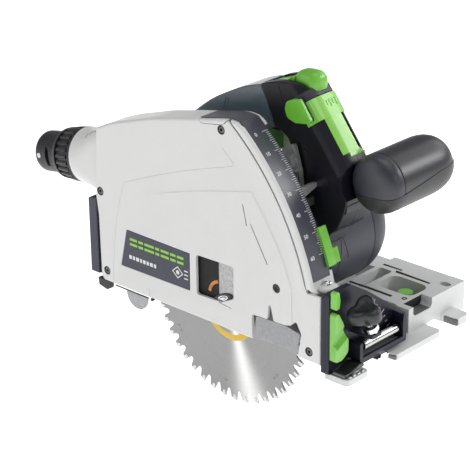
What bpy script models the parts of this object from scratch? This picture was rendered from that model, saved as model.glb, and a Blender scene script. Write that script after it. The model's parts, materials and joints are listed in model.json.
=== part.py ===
"""Track plunge saw: an assembly of separate named pieces, in metres, +Z up.

Frame: +X is the feed direction, +Y runs from the blade across the sole towards the motor's far end, +Z is up.
Origin: the point on the sole's plane, in the blade's plane, straight below the arbor when fully plunged.
The saw is drawn fully plunged, which is joint value 0 of the plunge pivot.
"""

import math

import bmesh
import bpy
from mathutils import Matrix, Vector

# ---------------------------------------------------------------- driving dimensions, in millimetres
BLADE_R = 84.0          # 168 mm saw blade
BLADE_T = 1.8
TEETH = 42
ARBOR = (0.0, 22.0)     # x, z of the arbor, fully plunged: 62 mm of blade below the sole
PIVOT = (-119.8, 16.7)  # x, z of the plunge pivot
GUARD_R = 227.5         # the guard's front edge, about the plunge pivot
GUARD_Y0, GUARD_Y1 = -14.0, 14.0
COVER_T = 2.5
GROOVE_R = 221.2
BASE_X0, BASE_X1 = -150.0, 112.0
BASE_Y0, BASE_Y1 = 5.0, 162.0
SLAB_T = 8.0
LIP_X = 135.0
MOTOR = (30.0, 77.4)    # x, z of the motor shaft
MOTOR_R = 48.0
GRIP = (118.0, 149.0)   # x, z of the front grip's axis
GRIP_R = 24.0
HANDLE_Y = 46.0         # the split plane of the handle
HANDLE_HALF = 18.0
TILT_SLOT_R = 50.0      # radius of the bevel slot about the cut line
SPOUT = (-171.0, 8.0, 110.8)
SPOUT_TILT = 10.0       # degrees that the dust port points down
SPINDLE_TEETH, IDLER_TEETH, PINION_TEETH = 36, 39, 12
MM = 0.001

for old in list(bpy.data.objects):
    bpy.data.objects.remove(old, do_unlink=True)

SAW = bpy.data.collections.new("track_plunge_saw")
CUTTERS = bpy.data.collections.new("cutters")
bpy.context.scene.collection.children.link(SAW)
bpy.context.scene.collection.children.link(CUTTERS)
CUTTERS.hide_render = True


# ---------------------------------------------------------------- materials
def material(name, colour, roughness, metallic=0.0, alpha=1.0):
    made = bpy.data.materials.new(name)
    made.use_nodes = True
    shader = made.node_tree.nodes["Principled BSDF"]
    shader.inputs["Base Color"].default_value = (*colour, 1.0)
    shader.inputs["Roughness"].default_value = roughness
    shader.inputs["Metallic"].default_value = metallic
    shader.inputs["Alpha"].default_value = alpha
    made.diffuse_color = (*colour, alpha)
    return made


WHITE = material("white_casting", (0.78, 0.78, 0.77), 0.42)
CAST = material("base_casting", (0.66, 0.67, 0.67), 0.5, 0.2)
BLACK = material("black_plastic", (0.02, 0.02, 0.025), 0.5)
NAVY = material("navy_plastic", (0.035, 0.04, 0.06), 0.45)
GREEN = material("green_plastic", (0.25, 0.62, 0.08), 0.4)
STEEL = material("brushed_steel", (0.6, 0.6, 0.6), 0.3, 1.0)
CHROME = material("chrome", (0.85, 0.85, 0.85), 0.1, 1.0)
ALU = material("die_cast_aluminium", (0.55, 0.56, 0.58), 0.4, 0.9)
COPPER = material("copper_winding", (0.6, 0.25, 0.1), 0.4, 0.9)
CLEAR = material("clear_plastic", (0.8, 0.82, 0.85), 0.1, 0.0, 0.35)


# ---------------------------------------------------------------- shape helpers, taking millimetres
def adopt(name, mesh, mat=None, cutter=False):
    made = bpy.data.objects.new(name, mesh)
    (CUTTERS if cutter else SAW).objects.link(made)
    if cutter:
        made.hide_render = True
        made.display_type = "WIRE"
    if mat is not None:
        made.data.materials.clear()
        made.data.materials.append(mat)
    return made


def tidy(mesh, weld=2e-6):
    """Welds, drops flat edges and turns the faces outwards."""
    work = bmesh.new()
    work.from_mesh(mesh)
    bmesh.ops.remove_doubles(work, verts=work.verts, dist=weld)
    bmesh.ops.dissolve_limit(work, angle_limit=math.radians(0.2), verts=work.verts, edges=work.edges)
    bmesh.ops.recalc_face_normals(work, faces=work.faces)
    if work.calc_volume(signed=True) < 0:
        bmesh.ops.reverse_faces(work, faces=work.faces)
    work.to_mesh(mesh)
    work.free()
    return mesh


def evaluated_mesh(source):
    bpy.context.view_layer.update()
    graph = bpy.context.evaluated_depsgraph_get()
    return bpy.data.meshes.new_from_object(source.evaluated_get(graph))


def bake(target):
    """Applies the modifiers."""
    mesh = evaluated_mesh(target)
    mesh.name = target.name
    target.modifiers.clear()
    target.data = mesh
    return target


AXES = {
    "XZ": Matrix(((1, 0, 0, 0), (0, 0, 1, 0), (0, 1, 0, 0), (0, 0, 0, 1))),
    "XY": Matrix.Identity(4),
    "YZ": Matrix(((0, 0, 1, 0), (1, 0, 0, 0), (0, 1, 0, 0), (0, 0, 0, 1))),
}


def prism(name, outline, plane, low, high, mat=None, cutter=False):
    """A flat outline, from a filled 2D curve, thick from low to high across its plane."""
    curve = bpy.data.curves.new(name, "CURVE")
    curve.dimensions = "2D"
    curve.fill_mode = "BOTH"
    curve.extrude = (high - low) / 2 * MM
    spline = curve.splines.new("POLY")
    spline.points.add(len(outline) - 1)
    for point, (u, v) in zip(spline.points, outline):
        point.co = (u * MM, v * MM, 0, 1)
    spline.use_cyclic_u = True
    source = bpy.data.objects.new(name + "_outline", curve)
    bpy.context.scene.collection.objects.link(source)
    mesh = evaluated_mesh(source)
    bpy.data.objects.remove(source, do_unlink=True)
    mesh.transform(AXES[plane] @ Matrix.Translation((0, 0, (low + high) / 2 * MM)))
    tidy(mesh)
    return adopt(name, mesh, mat, cutter)


def box(name, low, high, mat=None, cutter=False):
    work = bmesh.new()
    bmesh.ops.create_cube(work, size=1.0)
    size = [(b - a) * MM for a, b in zip(low, high)]
    centre = [(a + b) / 2 * MM for a, b in zip(low, high)]
    bmesh.ops.scale(work, vec=size, verts=work.verts)
    bmesh.ops.translate(work, vec=centre, verts=work.verts)
    mesh = bpy.data.meshes.new(name)
    work.to_mesh(mesh)
    work.free()
    return adopt(name, mesh, mat, cutter)


def along(axis):
    """The rotation that takes +Z to axis."""
    return Vector((0, 0, 1)).rotation_difference(Vector(axis).normalized()).to_matrix().to_4x4()


def rod(name, start, axis, length, radius, mat=None, cutter=False, sides=32, end_radius=None, turn=0.0):
    """A cylinder or cone from start, along axis."""
    work = bmesh.new()
    bmesh.ops.create_cone(
        work, cap_ends=True, segments=sides, radius1=radius * MM,
        radius2=(radius if end_radius is None else end_radius) * MM, depth=length * MM,
    )
    bmesh.ops.translate(work, vec=(0, 0, length / 2 * MM), verts=work.verts)
    mesh = bpy.data.meshes.new(name)
    work.to_mesh(mesh)
    work.free()
    mesh.transform(
        Matrix.Translation([c * MM for c in start]) @ along(axis) @ Matrix.Rotation(math.radians(turn), 4, "Z")
    )
    return adopt(name, mesh, mat, cutter)


def lathe(name, profile, start, axis, mat=None, cutter=False, steps=32, closed=False):
    """A turned shape: the profile's (radius, height) points turned about axis, heights counted from start."""
    mesh = bpy.data.meshes.new(name)
    edges = [(i, i + 1) for i in range(len(profile) - 1)]
    if closed:
        edges.append((len(profile) - 1, 0))
    mesh.from_pydata([(r * MM, 0, h * MM) for r, h in profile], edges, [])
    source = bpy.data.objects.new(name + "_profile", mesh)
    bpy.context.scene.collection.objects.link(source)
    screw = source.modifiers.new("turn", "SCREW")
    screw.steps = screw.render_steps = steps
    screw.use_merge_vertices = True
    screw.merge_threshold = 0.00001
    turned = evaluated_mesh(source)
    bpy.data.objects.remove(source, do_unlink=True)
    tidy(turned)
    turned.transform(Matrix.Translation([c * MM for c in start]) @ along(axis))
    return adopt(name, turned, mat, cutter)


def ring(name, start, axis, length, inner, outer, mat=None, steps=32, cutter=False):
    return lathe(
        name, [(outer, length), (outer, 0), (inner, 0), (inner, length)], start, axis, mat, cutter, steps, closed=True
    )


def boolean(target, operation, *tools, keep=False):
    for tool in tools:
        modifier = target.modifiers.new(operation.lower(), "BOOLEAN")
        modifier.operation = operation
        modifier.solver = "EXACT"
        modifier.object = tool
    bake(target)
    if not keep:
        for tool in tools:
            bpy.data.objects.remove(tool, do_unlink=True)
    work = bmesh.new()
    work.from_mesh(target.data)
    bmesh.ops.remove_doubles(work, verts=work.verts, dist=1e-6)
    bmesh.ops.dissolve_limit(work, angle_limit=math.radians(0.2), verts=work.verts, edges=work.edges)
    work.to_mesh(target.data)
    work.free()
    return target


def cut(target, *tools, keep=False):
    return boolean(target, "DIFFERENCE", *tools, keep=keep)


def join(target, *tools):
    return boolean(target, "UNION", *tools)


def bevel(target, width, segments=2, angle=35.0):
    modifier = target.modifiers.new("bevel", "BEVEL")
    modifier.width = width * MM
    modifier.segments = segments
    modifier.limit_method = "ANGLE"
    modifier.angle_limit = math.radians(angle)
    modifier.use_clamp_overlap = True
    bake(target)
    return target


def smooth(target, angle=35.0):
    target.data.shade_smooth()
    target.data.set_sharp_from_angle(angle=math.radians(angle))
    return target


# ---------------------------------------------------------------- outline helpers
def arc(centre, radius, first, last, count):
    """Points on an arc, degrees, ends included."""
    return [
        (
            centre[0] + radius * math.cos(math.radians(first + (last - first) * i / (count - 1))),
            centre[1] + radius * math.sin(math.radians(first + (last - first) * i / (count - 1))),
        )
        for i in range(count)
    ]


def circle(centre, radius, count):
    return arc(centre, radius, 0, 360 - 360 / count, count)


def band(centre, inner, outer, first, last, count):
    """The outline of an arc-shaped strip."""
    return arc(centre, outer, first, last, count) + arc(centre, inner, last, first, count)


def slot(centre, radius, half, first, last, count):
    """An arc-shaped slot with round ends."""
    a, b = math.radians(first), math.radians(last)
    start = (centre[0] + radius * math.cos(a), centre[1] + radius * math.sin(a))
    end = (centre[0] + radius * math.cos(b), centre[1] + radius * math.sin(b))
    return (
        arc(centre, radius + half, first, last, count)
        + arc(end, half, last, last + 180, 7)[1:-1]
        + arc(centre, radius - half, last, first, count)
        + arc(start, half, first + 180, first + 360, 7)[1:-1]
    )


def rounded(points, radius, steps=4):
    """The outline with each corner turned into an arc."""
    out = []
    for i, p in enumerate(points):
        p = Vector(p)
        a, b = Vector(points[i - 1]), Vector(points[(i + 1) % len(points)])
        r = radius[i] if isinstance(radius, (list, tuple)) else radius
        if r <= 0:
            out.append(tuple(p))
            continue
        u, v = (a - p), (b - p)
        lu, lv = u.length, v.length
        u.normalize()
        v.normalize()
        half = math.acos(max(-1, min(1, u.dot(v)))) / 2
        reach = min(r / math.tan(half), lu * 0.48, lv * 0.48)
        real = reach * math.tan(half)
        centre = p + (u + v).normalized() * (real / math.sin(half))
        start, end = p + u * reach - centre, p + v * reach - centre
        turn = start.angle_signed(end)
        for k in range(steps + 1):
            out.append(tuple(centre + Matrix.Rotation(-turn * k / steps, 2) @ start))
    return out


def gear_outline(centre, teeth, phase, module=1.0):
    """Pointed teeth, thinner than their gaps at the pitch circle; phase is the angle of one tooth's centre, in degrees."""
    pitch = teeth * module / 2
    outline = []
    for i in range(2 * teeth):
        turn = math.radians(phase + 180 * i / teeth)
        radius = pitch + (0.72 * module if i % 2 == 0 else -1.25 * module)
        outline.append((centre[0] + radius * math.cos(turn), centre[1] + radius * math.sin(turn)))
    return outline


def blade_outline():
    """Teeth that lean forwards: the blade turns so that its lower teeth cut upwards at the front."""
    outline = []
    for i in range(TEETH):
        a = -360.0 * i / TEETH
        for radius, turn in ((BLADE_R, 0.0), (BLADE_R - 2.4, -4.2), (BLADE_R - 9.0, -5.4), (BLADE_R - 8.2, -7.0)):
            t = math.radians(a + turn)
            outline.append((ARBOR[0] + radius * math.cos(t), ARBOR[1] + radius * math.sin(t)))
    return outline


P = PIVOT
B = ARBOR
IDLER = (17.86, 54.98)

# ---------------------------------------------------------------- base: the fixed body
base = box("base_plate", (BASE_X0, BASE_Y0, 0), (108.8, BASE_Y1, SLAB_T), CAST)
join(
    base,
    box("lip", (100, 5, 0), (118, 109, 5)),
    box("front_wall", (104, 86, 0), (118, 161.9, 26)),
    box("front_deck", (44, 88, 4), (114, 161.7, 25.8)),
    box("right_block", (BASE_X0 + 4, 141, 5), (113, 161.8, 22)),
    prism("foot_a", rounded([(112, -12), (135, -12), (135, 15), (112, 15)], [0, 4, 4, 0]), "XY", 0.01, 5.01),
    prism("foot_b", rounded([(112, 48), (135, 48), (135, 108.5), (112, 108.5)], [0, 4, 4, 0]), "XY", -0.01, 5.02),
    prism("foot_c", rounded([(112, 130), (135, 130), (135, 146), (112, 146)], [0, 4, 4, 0]), "XY", -0.02, 7.02),
)
cut(
    base,
    box("groove", (-200, 111, -2), (200, 129, 5), cutter=True),
    prism("well", rounded([(-136, 12), (62, 12), (62, 52), (-136, 52)], 3), "XY", -3, 12, cutter=True),
    prism("spring_well", rounded([(-136, 45), (-104, 45), (-104, 67), (-136, 67)], 3), "XY", -4, 13, cutter=True),
    box("nose_notch", (-24, 0, -4), (24, 14, 14), cutter=True),
    prism("slot_hole", rounded([(105, 142), (115, 142), (115, 149), (105, 149)], 3.4), "XY", 14, 30, cutter=True),
    prism("cam_pocket", rounded([(66, 106.5), (103.6, 106.5), (103.6, 133), (66, 133)], 8), "XY", 5.8, 30, cutter=True),
    prism("front_notch", rounded([(92, 17.5), (117, 17.5), (117, 30), (92, 30)], [4, 4, 0, 0]), "YZ", 106.4, 122, cutter=True),
    prism("deck_hollow", rounded([(48, 92), (61, 92), (61, 137), (48, 137)], 3), "XY", 10, 30, cutter=True),
    prism("rear_pocket", rounded([(-124, 108), (-100, 108), (-100, 136), (-124, 136)], 6), "XY", 5.8, 30, cutter=True),
    rod("cam_hole", (88, 120, -5), (0, 0, 1), 30, 7.5, cutter=True, sides=24),
    rod("rear_cam_hole", (-112, 120, -5), (0, 0, 1), 30, 7.5, cutter=True, sides=24),
    prism("foot_window", rounded([(118, -6), (130, -6), (130, 9), (118, 9)], 2), "XY", -3, 9, cutter=True),
)

segment = prism(
    "front_bevel_segment",
    rounded([(-13.9, 5.4), (83.3, 5.4), (83.3, 24.4), (33, 61.6), (13, 74), (-13.9, 74)], [1, 2, 4, 6, 6, 3], 3), "YZ", 112.2, 117.2, NAVY,
)
join(
    segment,
    box("column", (109.3, -13.8, 5.5), (117.1, -6, 69.9)),
    prism("tray", rounded([(10.4, 9), (68.9, 9), (68.9, 32), (65.2, 33), (64, 19.4), (17, 19.4), (13.4, 27), (10.4, 27)], [5, 2, 1.5, 1, 1, 3, 1, 1.5], 3), "YZ", 116, 129),
    box("screw_lug", (116.5, 13.5, 32.8), (138.4, 25, 35.6)),
)
cut(
    segment,
    box("tray_pocket", (117.3, 14, 12), (126.4, 64.8, 31), cutter=True),
    box("tray_front", (125.8, 14.2, 13.6), (132, 64.6, 31.5), cutter=True),
    rod("bar_recess", (124, 19, 20.2), (0, 1, 0), 45.2, 4.5, cutter=True, sides=24),
    rod("screw_pass", Vector((133.5, 10.2, 56.6)) - Vector((0, -0.42, 0.907)).normalized() * 32, (0, -0.42, 0.907), 18, 4.9, cutter=True, sides=24),
    prism("groove_arc", slot((0, 0), TILT_SLOT_R, 4.6, 15.6, 64.4, 13), "YZ", 105, 116.2, cutter=True),
)
rear_segment = prism(
    "rear_bevel_segment",
    rounded([(15.6, 8.4), (82, 8.4), (82, 22), (34, 62), (15.6, 66)], [1, 3, 4, 6, 4], 3), "YZ", -149.8, -143.4, NAVY,
)
cut(rear_segment, prism("rear_groove", slot((0, 0), TILT_SLOT_R, 4.6, 15.6, 64.4, 13), "YZ", -147.4, -140, cutter=True))

rod("clamp_bar", (123.0, 20.0, 20.2), (0, 1, 0), 43.6, 3.9, CHROME, sides=32)
KNOB = (133.5, 10.2, 56.6)
KNOB_AXIS = Vector((0, -0.42, 0.907)).normalized()


def wing_knob(name, centre, axis, spin, mat):
    """A three-lobed clamp knob, 11 mm thick."""
    outline = []
    for i in range(24):
        t = 2 * math.pi * i / 24
        radius = 12.2 + 2.6 * math.cos(3 * t)
        outline.append((radius * math.cos(t), radius * math.sin(t)))
    knob = prism(name, outline, "XY", -5.5, 5.5, mat)
    bevel(knob, 1.6, 1)
    stub = rod("stub", (0, 0, -9), (0, 0, 1), 6, 7.2, sides=16)
    join(knob, stub)
    knob.data.transform(
        Matrix.Translation([c * MM for c in centre]) @ along(axis) @ Matrix.Rotation(math.radians(spin), 4, "Z")
    )
    return knob


def screw_below(name, centre, axis, mat):
    """The knob's screw: a stepped chrome spigot with a collar."""
    start = Vector(centre) - Vector(axis) * 27.0
    return lathe(
        name, [(0, 17.6), (3.4, 17.6), (3.4, 13), (6.4, 12.4), (6.4, 8), (4.2, 7.2), (4.2, 0), (0, 0)], start, axis, mat, steps=24
    )


wing_knob("front_clamp_knob", KNOB, KNOB_AXIS, 0, BLACK)
screw_below("front_clamp_screw", KNOB, KNOB_AXIS, CHROME)
REAR_KNOB = (-160.5, 48, 34)
wing_knob("rear_clamp_knob", REAR_KNOB, (-1, 0, 0), 40, BLACK)

lever = prism(
    "undercut_lever",
    rounded([(-13.2, 17.6), (-5.2, 16.8), (2.6, 21.8), (2.6, 32), (-4.5, 50), (-9.4, 58.4), (-13.2, 58.4)], [2, 5, 5, 6, 4, 2, 2], 3), "YZ", 117.6, 123.6, GREEN,
)
cut(lever, rod("scoop", (130, -14, 33), Vector((0.0, 0.9, 0.45)), 40, 9.0, cutter=True, sides=28))
tab = prism("bevel_range_tab", rounded([(-13.2, 62.4), (-8.6, 62.4), (-7.4, 70), (-9.0, 77), (-13.2, 77)], 1.5, 3), "YZ", 117.6, 124, GREEN)
bevel(tab, 0.8, 1)

for name, x in (("rail_cam_front", 88), ("rail_cam_rear", -112)):
    cam = rod(name, (x, 120, 5.4), (0, 0, 1), 7.0, 7.0, GREEN, sides=24)
    if x > 0:
        join(cam, rod("stem", (x, 120, 11), (0, 0, 1), 10.2, 6.4, sides=24))
    join(cam, prism("wing", rounded([(x - 3, 119), (x + 3, 119), (x + 2.4, 131.5), (x - 2.4, 131.5)], 1.2, 2), "XY", 8, 12.3))

# ---------------------------------------------------------------- cradle: everything that tilts
FRONT_OUT = arc(P, GUARD_R, 49.6, 14.95, 16)
OUTLINE = [(-136, 10), (-139.6, 13.5), (-140.3, 70), (-142.6, 87), (-139, 149), (-124.5, 155.8), (-108, 162), (-90, 167.6),
           (-73, 173), (-55, 177.2), (-39, 181), (-11, 187), (8, 191.2), (15, 192), (21.5, 191.6)] + FRONT_OUT + [
           (101.6, 72.4), (108.4, 69.6), (108.4, 10)]


def inset(points, amount):
    """The outline moved inwards, for one that runs clockwise."""
    out = []
    for i, p in enumerate(points):
        a, b, c = Vector(points[i - 1]), Vector(p), Vector(points[(i + 1) % len(points)])
        n1, n2 = (b - a).normalized(), (c - b).normalized()
        n1, n2 = Vector((n1.y, -n1.x)), Vector((n2.y, -n2.x))
        mean = (n1 + n2).normalized()
        out.append(tuple(b + mean * amount / max(0.35, mean.dot(n1))))
    return out


guard = prism("guard_housing", OUTLINE, "XZ", -14.0, 14.0, WHITE)
CHAMBER = inset([(-140.2, 10), (-140.3, 70), (-142.6, 87), (-139, 149), (-108, 162), (-73, 173), (-39, 181), (15, 192)]
                + arc(P, GUARD_R, 49.6, 14.95, 16) + [(108.4, 69.6), (108.4, 10)], 7.0)
cut(
    guard,
    # the cover's seat, then the chamber, open downwards for the blade
    prism("seat", [(-170, 0), (-170, 230), (-17.6, 230), (-17.6, 184.9), (-15.3, 183.0), (7.4, 186.7)] + arc(P, GROOVE_R, 52.8, 14.6, 16) + [(125, 69.2), (125, 0)],
          "XZ", -20, -11.2, cutter=True),
    prism("chamber", CHAMBER, "XZ", -13, 11.5, cutter=True),
    box("mouth", (-93, -12.5, 0), (93, 11.5, 40), cutter=True),
    prism("strip_seat", band(P, 225.4, 240, 12.0, 52.5, 16), "XZ", -11.6, 20, cutter=True),
    prism("neck_slot", slot(P, 119.92, 18.2, -4, 36.2, 14), "XZ", 5, 20, cutter=True),
    box("spout_mouth", (-150, -8, 92), (-132, 11, 136), cutter=True),
    rod("axle_hole", (P[0], 4, P[1]), (0, 1, 0), 30, 5.3, cutter=True, sides=24),
)
# beside the scale the rim steps down towards the motor side
join(guard, prism("rim_step", band(P, 212, 222, 16.0, 50.0, 16), "XZ", 3.8, 13.9))
cut(guard, prism("rim_relief", band(P, 217, 240, 16.4, 48.5, 16), "XZ", 9.9, 20, cutter=True))
cover = prism(
    "guard_cover",
    OUTLINE[1:11] + [(-18.0, 185.5), (-18.0, 184.6), (-15.4, 182.5), (7.2, 186.2)] + arc(P, GROOVE_R - 0.7, 52.8, 15.6, 16) + [(94.6, 68.7), (108.3, 68.7), (108.3, 10.1), (-136, 10.1)],
    "XZ", -14.0, -11.6, WHITE,
)
WINDOW = [(-24.5, 66.8), (17.3, 68), (17.3, 39.5), (3.2, 32.4), (-24.5, 31.2)]
SPLINTER = [(36.9, 32.6), (36.6, 5), (84.6, 5), (89.4, 31.2), (83.8, 41.4), (78.5, 36.0), (72.8, 34.3), (60.5, 33.8), (55.7, 51.6), (53.4, 33.4)]
LABEL = [(-105.5, 66.2), (-31.5, 65.7), (-31.9, 31.9), (-113.6, 30.9)]
SCREWS = {"rear_upper": (-136.0, 92.8), "rear_lower": (-131.5, 20.5), "top": (6.1, 182.0), "front": (97.2, 19.1)}
cut(
    cover,
    prism("window", rounded(WINDOW, 2.5), "XZ", -20, -5, cutter=True),
    prism("splinter_gap", rounded(SPLINTER, [1.5, 0, 0, 2, 2, 2, 3, 1.2, 1.2, 1.2], 3), "XZ", -20, -5, cutter=True),
    prism("label_seat", LABEL, "XZ", -20, -13.2, cutter=True),
    *[rod("screw_seat", (x, -30, z), (0, 1, 0), 25, 3.9, cutter=True, sides=14) for x, z in SCREWS.values()],
)
for name, (x, z) in SCREWS.items():
    lathe("guard_screw_" + name, [(0, 2.0), (1.7, 2.0), (2.1, 0.2), (3.5, 0.2), (3.5, 3.2), (1.9, 3.2), (1.9, 5.5), (0, 5.5)][::-1],
          (x, -14.2, z), (0, 1, 0), STEEL, steps=12)
cut(guard, *[rod("screw_hole", (x, -20, z), (0, 1, 0), 16, 3.9, cutter=True, sides=16) for x, z in SCREWS.values()])
name_plate = prism("nameplate", inset(LABEL, 0.35), "XZ", -14.3, -13.5, NAVY)

splinter = prism("splinter_window", rounded([(40.6, 31.6), (40.6, 12.2), (83.4, 12.2), (87.6, 30.6), (72.6, 33.4), (53.2, 32.8)], 1.2, 2), "XZ", -13.4, -11.5, CLEAR)

prism("depth_scale_strip", band(P, 225.7, 226.9, 15.6, 50.4, 18), "XZ", -11.2, 9.6, NAVY)

spine = prism("rear_edge_strip", [(-153.6, 13.5), (-143.6, 13.5), (-143.6, 84), (-153.6, 82)], "XZ", -12.6, 12.8, NAVY)
cut(spine, box("spine_hollow", (-152, -11, 30), (-145.4, 11.2, 95), cutter=True))

arm = prism("front_tilt_bracket", rounded([(14.3, 14), (14.3, 46), (24, 47), (53, 27), (59, 18), (58, 10.6), (30, 10.6)], 2, 2), "YZ", 103.4, 108.6, ALU)
join(arm, rod("shoe", (104, 47.8, 14.7), (1, 0, 0), 11.6, 4.0, sides=20))
rear_arm = prism("rear_tilt_bracket", rounded([(14.3, 14), (14.3, 44), (24, 45), (53, 27), (59, 18), (58, 10.8), (30, 10.8)], 2, 2), "YZ", -141.6, -135.8, ALU)
join(
    rear_arm,
    rod("rear_shoe", (-136, 47.8, 14.7), (-1, 0, 0), 10.8, 4.0, sides=20),
    box("lug_arm", (-141.5, 41, 10.9), (P[0], 46, 26)),
    rod("lug", (P[0], 40.9, P[1]), (0, 1, 0), 5.2, 10, sides=32),
)
cut(rear_arm, rod("lug_bore", (P[0], 30, P[1]), (0, 1, 0), 30, 5.3, cutter=True, sides=24))
axle = rod("plunge_axle", (P[0], 8, P[1]), (0, 1, 0), 55, 5.0, STEEL, sides=24)

# the return spring round the axle's outer end
coil = bpy.data.curves.new("coil", "CURVE")
coil.dimensions = "3D"
coil.bevel_depth = 1.0 * MM
coil.bevel_resolution = 0
coil.use_fill_caps = True
turns = coil.splines.new("POLY")
count = 33
turns.points.add(count - 1)
for i, point in enumerate(turns.points):
    t = 2 * math.pi * i / 8
    point.co = ((P[0] + 7.4 * math.cos(t)) * MM, (48.2 + 3.0 * i / 8) * MM, (P[1] + 7.2 * math.sin(t)) * MM, 1)
coil_source = bpy.data.objects.new("coil_source", coil)
bpy.context.scene.collection.objects.link(coil_source)
coil_mesh = evaluated_mesh(coil_source)
bpy.data.objects.remove(coil_source, do_unlink=True)
tidy(coil_mesh)
adopt("plunge_return_spring", coil_mesh, STEEL)


def loft(name, sections, mat, closed=True):
    """A closed tube: each section is a loop of points, and the last joins the first."""
    work = bmesh.new()
    loops = [[work.verts.new([c * MM for c in p]) for p in section] for section in sections]
    for first, second in zip(loops, loops[1:] + loops[:1]):
        for i in range(len(first)):
            j = (i + 1) % len(first)
            work.faces.new((first[i], first[j], second[j], second[i]))
    bmesh.ops.triangulate(work, faces=work.faces)
    bmesh.ops.recalc_face_normals(work, faces=work.faces)
    if work.calc_volume(signed=True) < 0:
        bmesh.ops.reverse_faces(work, faces=work.faces)
    mesh = bpy.data.meshes.new(name)
    work.to_mesh(mesh)
    work.free()
    return adopt(name, mesh, mat)


OUT = Vector((-math.cos(math.radians(SPOUT_TILT)), 0, -math.sin(math.radians(SPOUT_TILT))))
SIDE, UP = Vector((0, 1, 0)), Vector((-math.sin(math.radians(SPOUT_TILT)), 0, math.cos(math.radians(SPOUT_TILT))))
MOUTH = Vector(SPOUT)


def ring_points(centre, radius, count=28):
    return [centre + SIDE * (radius * math.cos(2 * math.pi * i / count)) + UP * (radius * math.sin(2 * math.pi * i / count)) for i in range(count)]


def oblong_points(x, half_y, half_z, zc, power, shear=0.0, count=28, yc=1.0):
    """A superellipse across the guard's rear wall."""
    out = []
    for i in range(count):
        t = 2 * math.pi * i / count
        c, s = math.cos(t), math.sin(t)
        z = zc + half_z * math.copysign(abs(s) ** power, s)
        out.append(Vector((x + shear * (z - zc), yc + half_y * math.copysign(abs(c) ** power, c), z)))
    return out


wall_out = oblong_points(-142.9, 12.6, 27.0, 115.5, 0.5, 0.055)
wall_in = oblong_points(-142.9, 9.4, 21.0, 114.0, 0.5, 0.055)


def blend_points(first, second, share):
    return [a.lerp(b, share) for a, b in zip(first, second)]


end_out, end_in = ring_points(MOUTH, 24.6), ring_points(MOUTH, 20.6)
outer = [blend_points(wall_out, end_out, 0.5 - 0.5 * math.cos(math.pi * k / 4)) for k in range(5)]
for k, section in enumerate(outer):
    share = k / 4
    outer[k] = [Vector((w.x + (e.x - w.x) * share, p.y, p.z)) for p, w, e in zip(section, wall_out, end_out)]
inner = [blend_points(wall_in, end_in, k / 2) for k in range(3)]
spout = loft("dust_spout", outer + inner[::-1], WHITE)

ribs = [(20.9, 0.5), (24.4, 0.5)]
for k in range(4):
    a = 3.0 + k * 5.6
    ribs += [(24.4 - 0.3 * k, a), (23.0 - 0.3 * k, a + 0.9), (23.0 - 0.3 * k, a + 3.4), (24.2 - 0.3 * k, a + 4.3)]
ribs += [(22.6, 26.0), (18.5, 26.0), (18.5, 6.0), (20.9, 5.0)]
collar = lathe("dust_port_collar", ribs[::-1], MOUTH, OUT, BLACK, steps=20, closed=True)
sleeve = ring("dust_port_sleeve", MOUTH + OUT * 6.4, OUT, 46.3, 15.8, 18.2, BLACK, steps=28)
cut(sleeve, box("sleeve_slot", (-218, -14, 96), (-210, -8, 112), cutter=True))

# ---------------------------------------------------------------- depth stop
stop = prism("depth_stop_slider", band(P, 227.4, 230.2, 17.4, 25.4, 8), "XZ", 7.0, 15.6, GREEN)
join(stop, prism("stop_foot", band(P, 227.6, 230.0, 17.6, 20.6, 4), "XZ", 8.0, 21.4),
     prism("stop_leg", band(P, 214.2, 229.0, 17.8, 19.4, 3), "XZ", 14.6, 21.2),
     prism("stop_rib", band(P, 221.2, 229.4, 17.5, 25.3, 8), "XZ", 14.4, 15.4))
bevel(stop, 0.6, 1)

# ---------------------------------------------------------------- plunge unit
def hull(circles, count=48):
    """The outline round several circles."""
    points = sorted({(round(x, 5), round(y, 5)) for centre, radius in circles for x, y in circle(centre, radius, count)})
    chain = []
    for sweep in (points, points[::-1]):
        start = len(chain)
        for p in sweep:
            while len(chain) - start >= 2:
                (ax, ay), (bx, by) = chain[-2], chain[-1]
                if (bx - ax) * (p[1] - ay) - (by - ay) * (p[0] - ax) <= 1e-9:
                    chain.pop()
                else:
                    break
            chain.append(p)
        chain.pop()
    return chain


case = prism("gear_case", hull([(P, 12), (B, 21), ((22, 62), 30), (MOTOR, 34)], 24), "XZ", 15.5, 34.0, ALU)
join(case, rod("neck", (B[0], 4.6, B[1]), (0, 1, 0), 12, 14.6, sides=24), rod("hub", (P[0], 15.6, P[1]), (0, 1, 0), 24.9, 10.5, sides=20),
     prism("case_tower", [(12, 100), (26, 96), (30, 140), (27, 157), (12.9, 150), (6, 120)], "XZ", 15.7, 25.9))
cut(
    case,
    prism("gear_chamber", hull([(B, 19.5), (IDLER, 21.1), (MOTOR, 11.0)], 28), "XZ", 18.0, 40, cutter=True),
    prism("lid_seat", hull([(B, 20.2), (IDLER, 25.0), (MOTOR, 15.0)], 20), "XZ", 31.2, 40, cutter=True),
    rod("neck_bore", (B[0], 0, B[1]), (0, 1, 0), 30, 7.6, cutter=True, sides=28),
    rod("bearing_seat", (B[0], 0, B[1]), (0, 1, 0), 12.6, 11.3, cutter=True, sides=28),
    rod("hub_bore", (P[0], 0, P[1]), (0, 1, 0), 60, 5.4, cutter=True, sides=24),
    prism("web_a", rounded([(-100, 14), (-34, 20), (-34, 48), (-92, 26)], 5), "XZ", 20, 40, cutter=True),
)
lid = prism("gear_case_lid", hull([(B, 19.7), (IDLER, 24.5), (MOTOR, 14.5)], 20), "XZ", 31.5, 33.9, ALU)
cut(lid, rod("pinion_pass", (MOTOR[0], 20, MOTOR[1]), (0, 1, 0), 30, 5.0, cutter=True, sides=24))
ring("spindle_bearing", (B[0], 5.2, B[1]), (0, 1, 0), 7.0, 7.3, 11.0, STEEL, steps=28)

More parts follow.
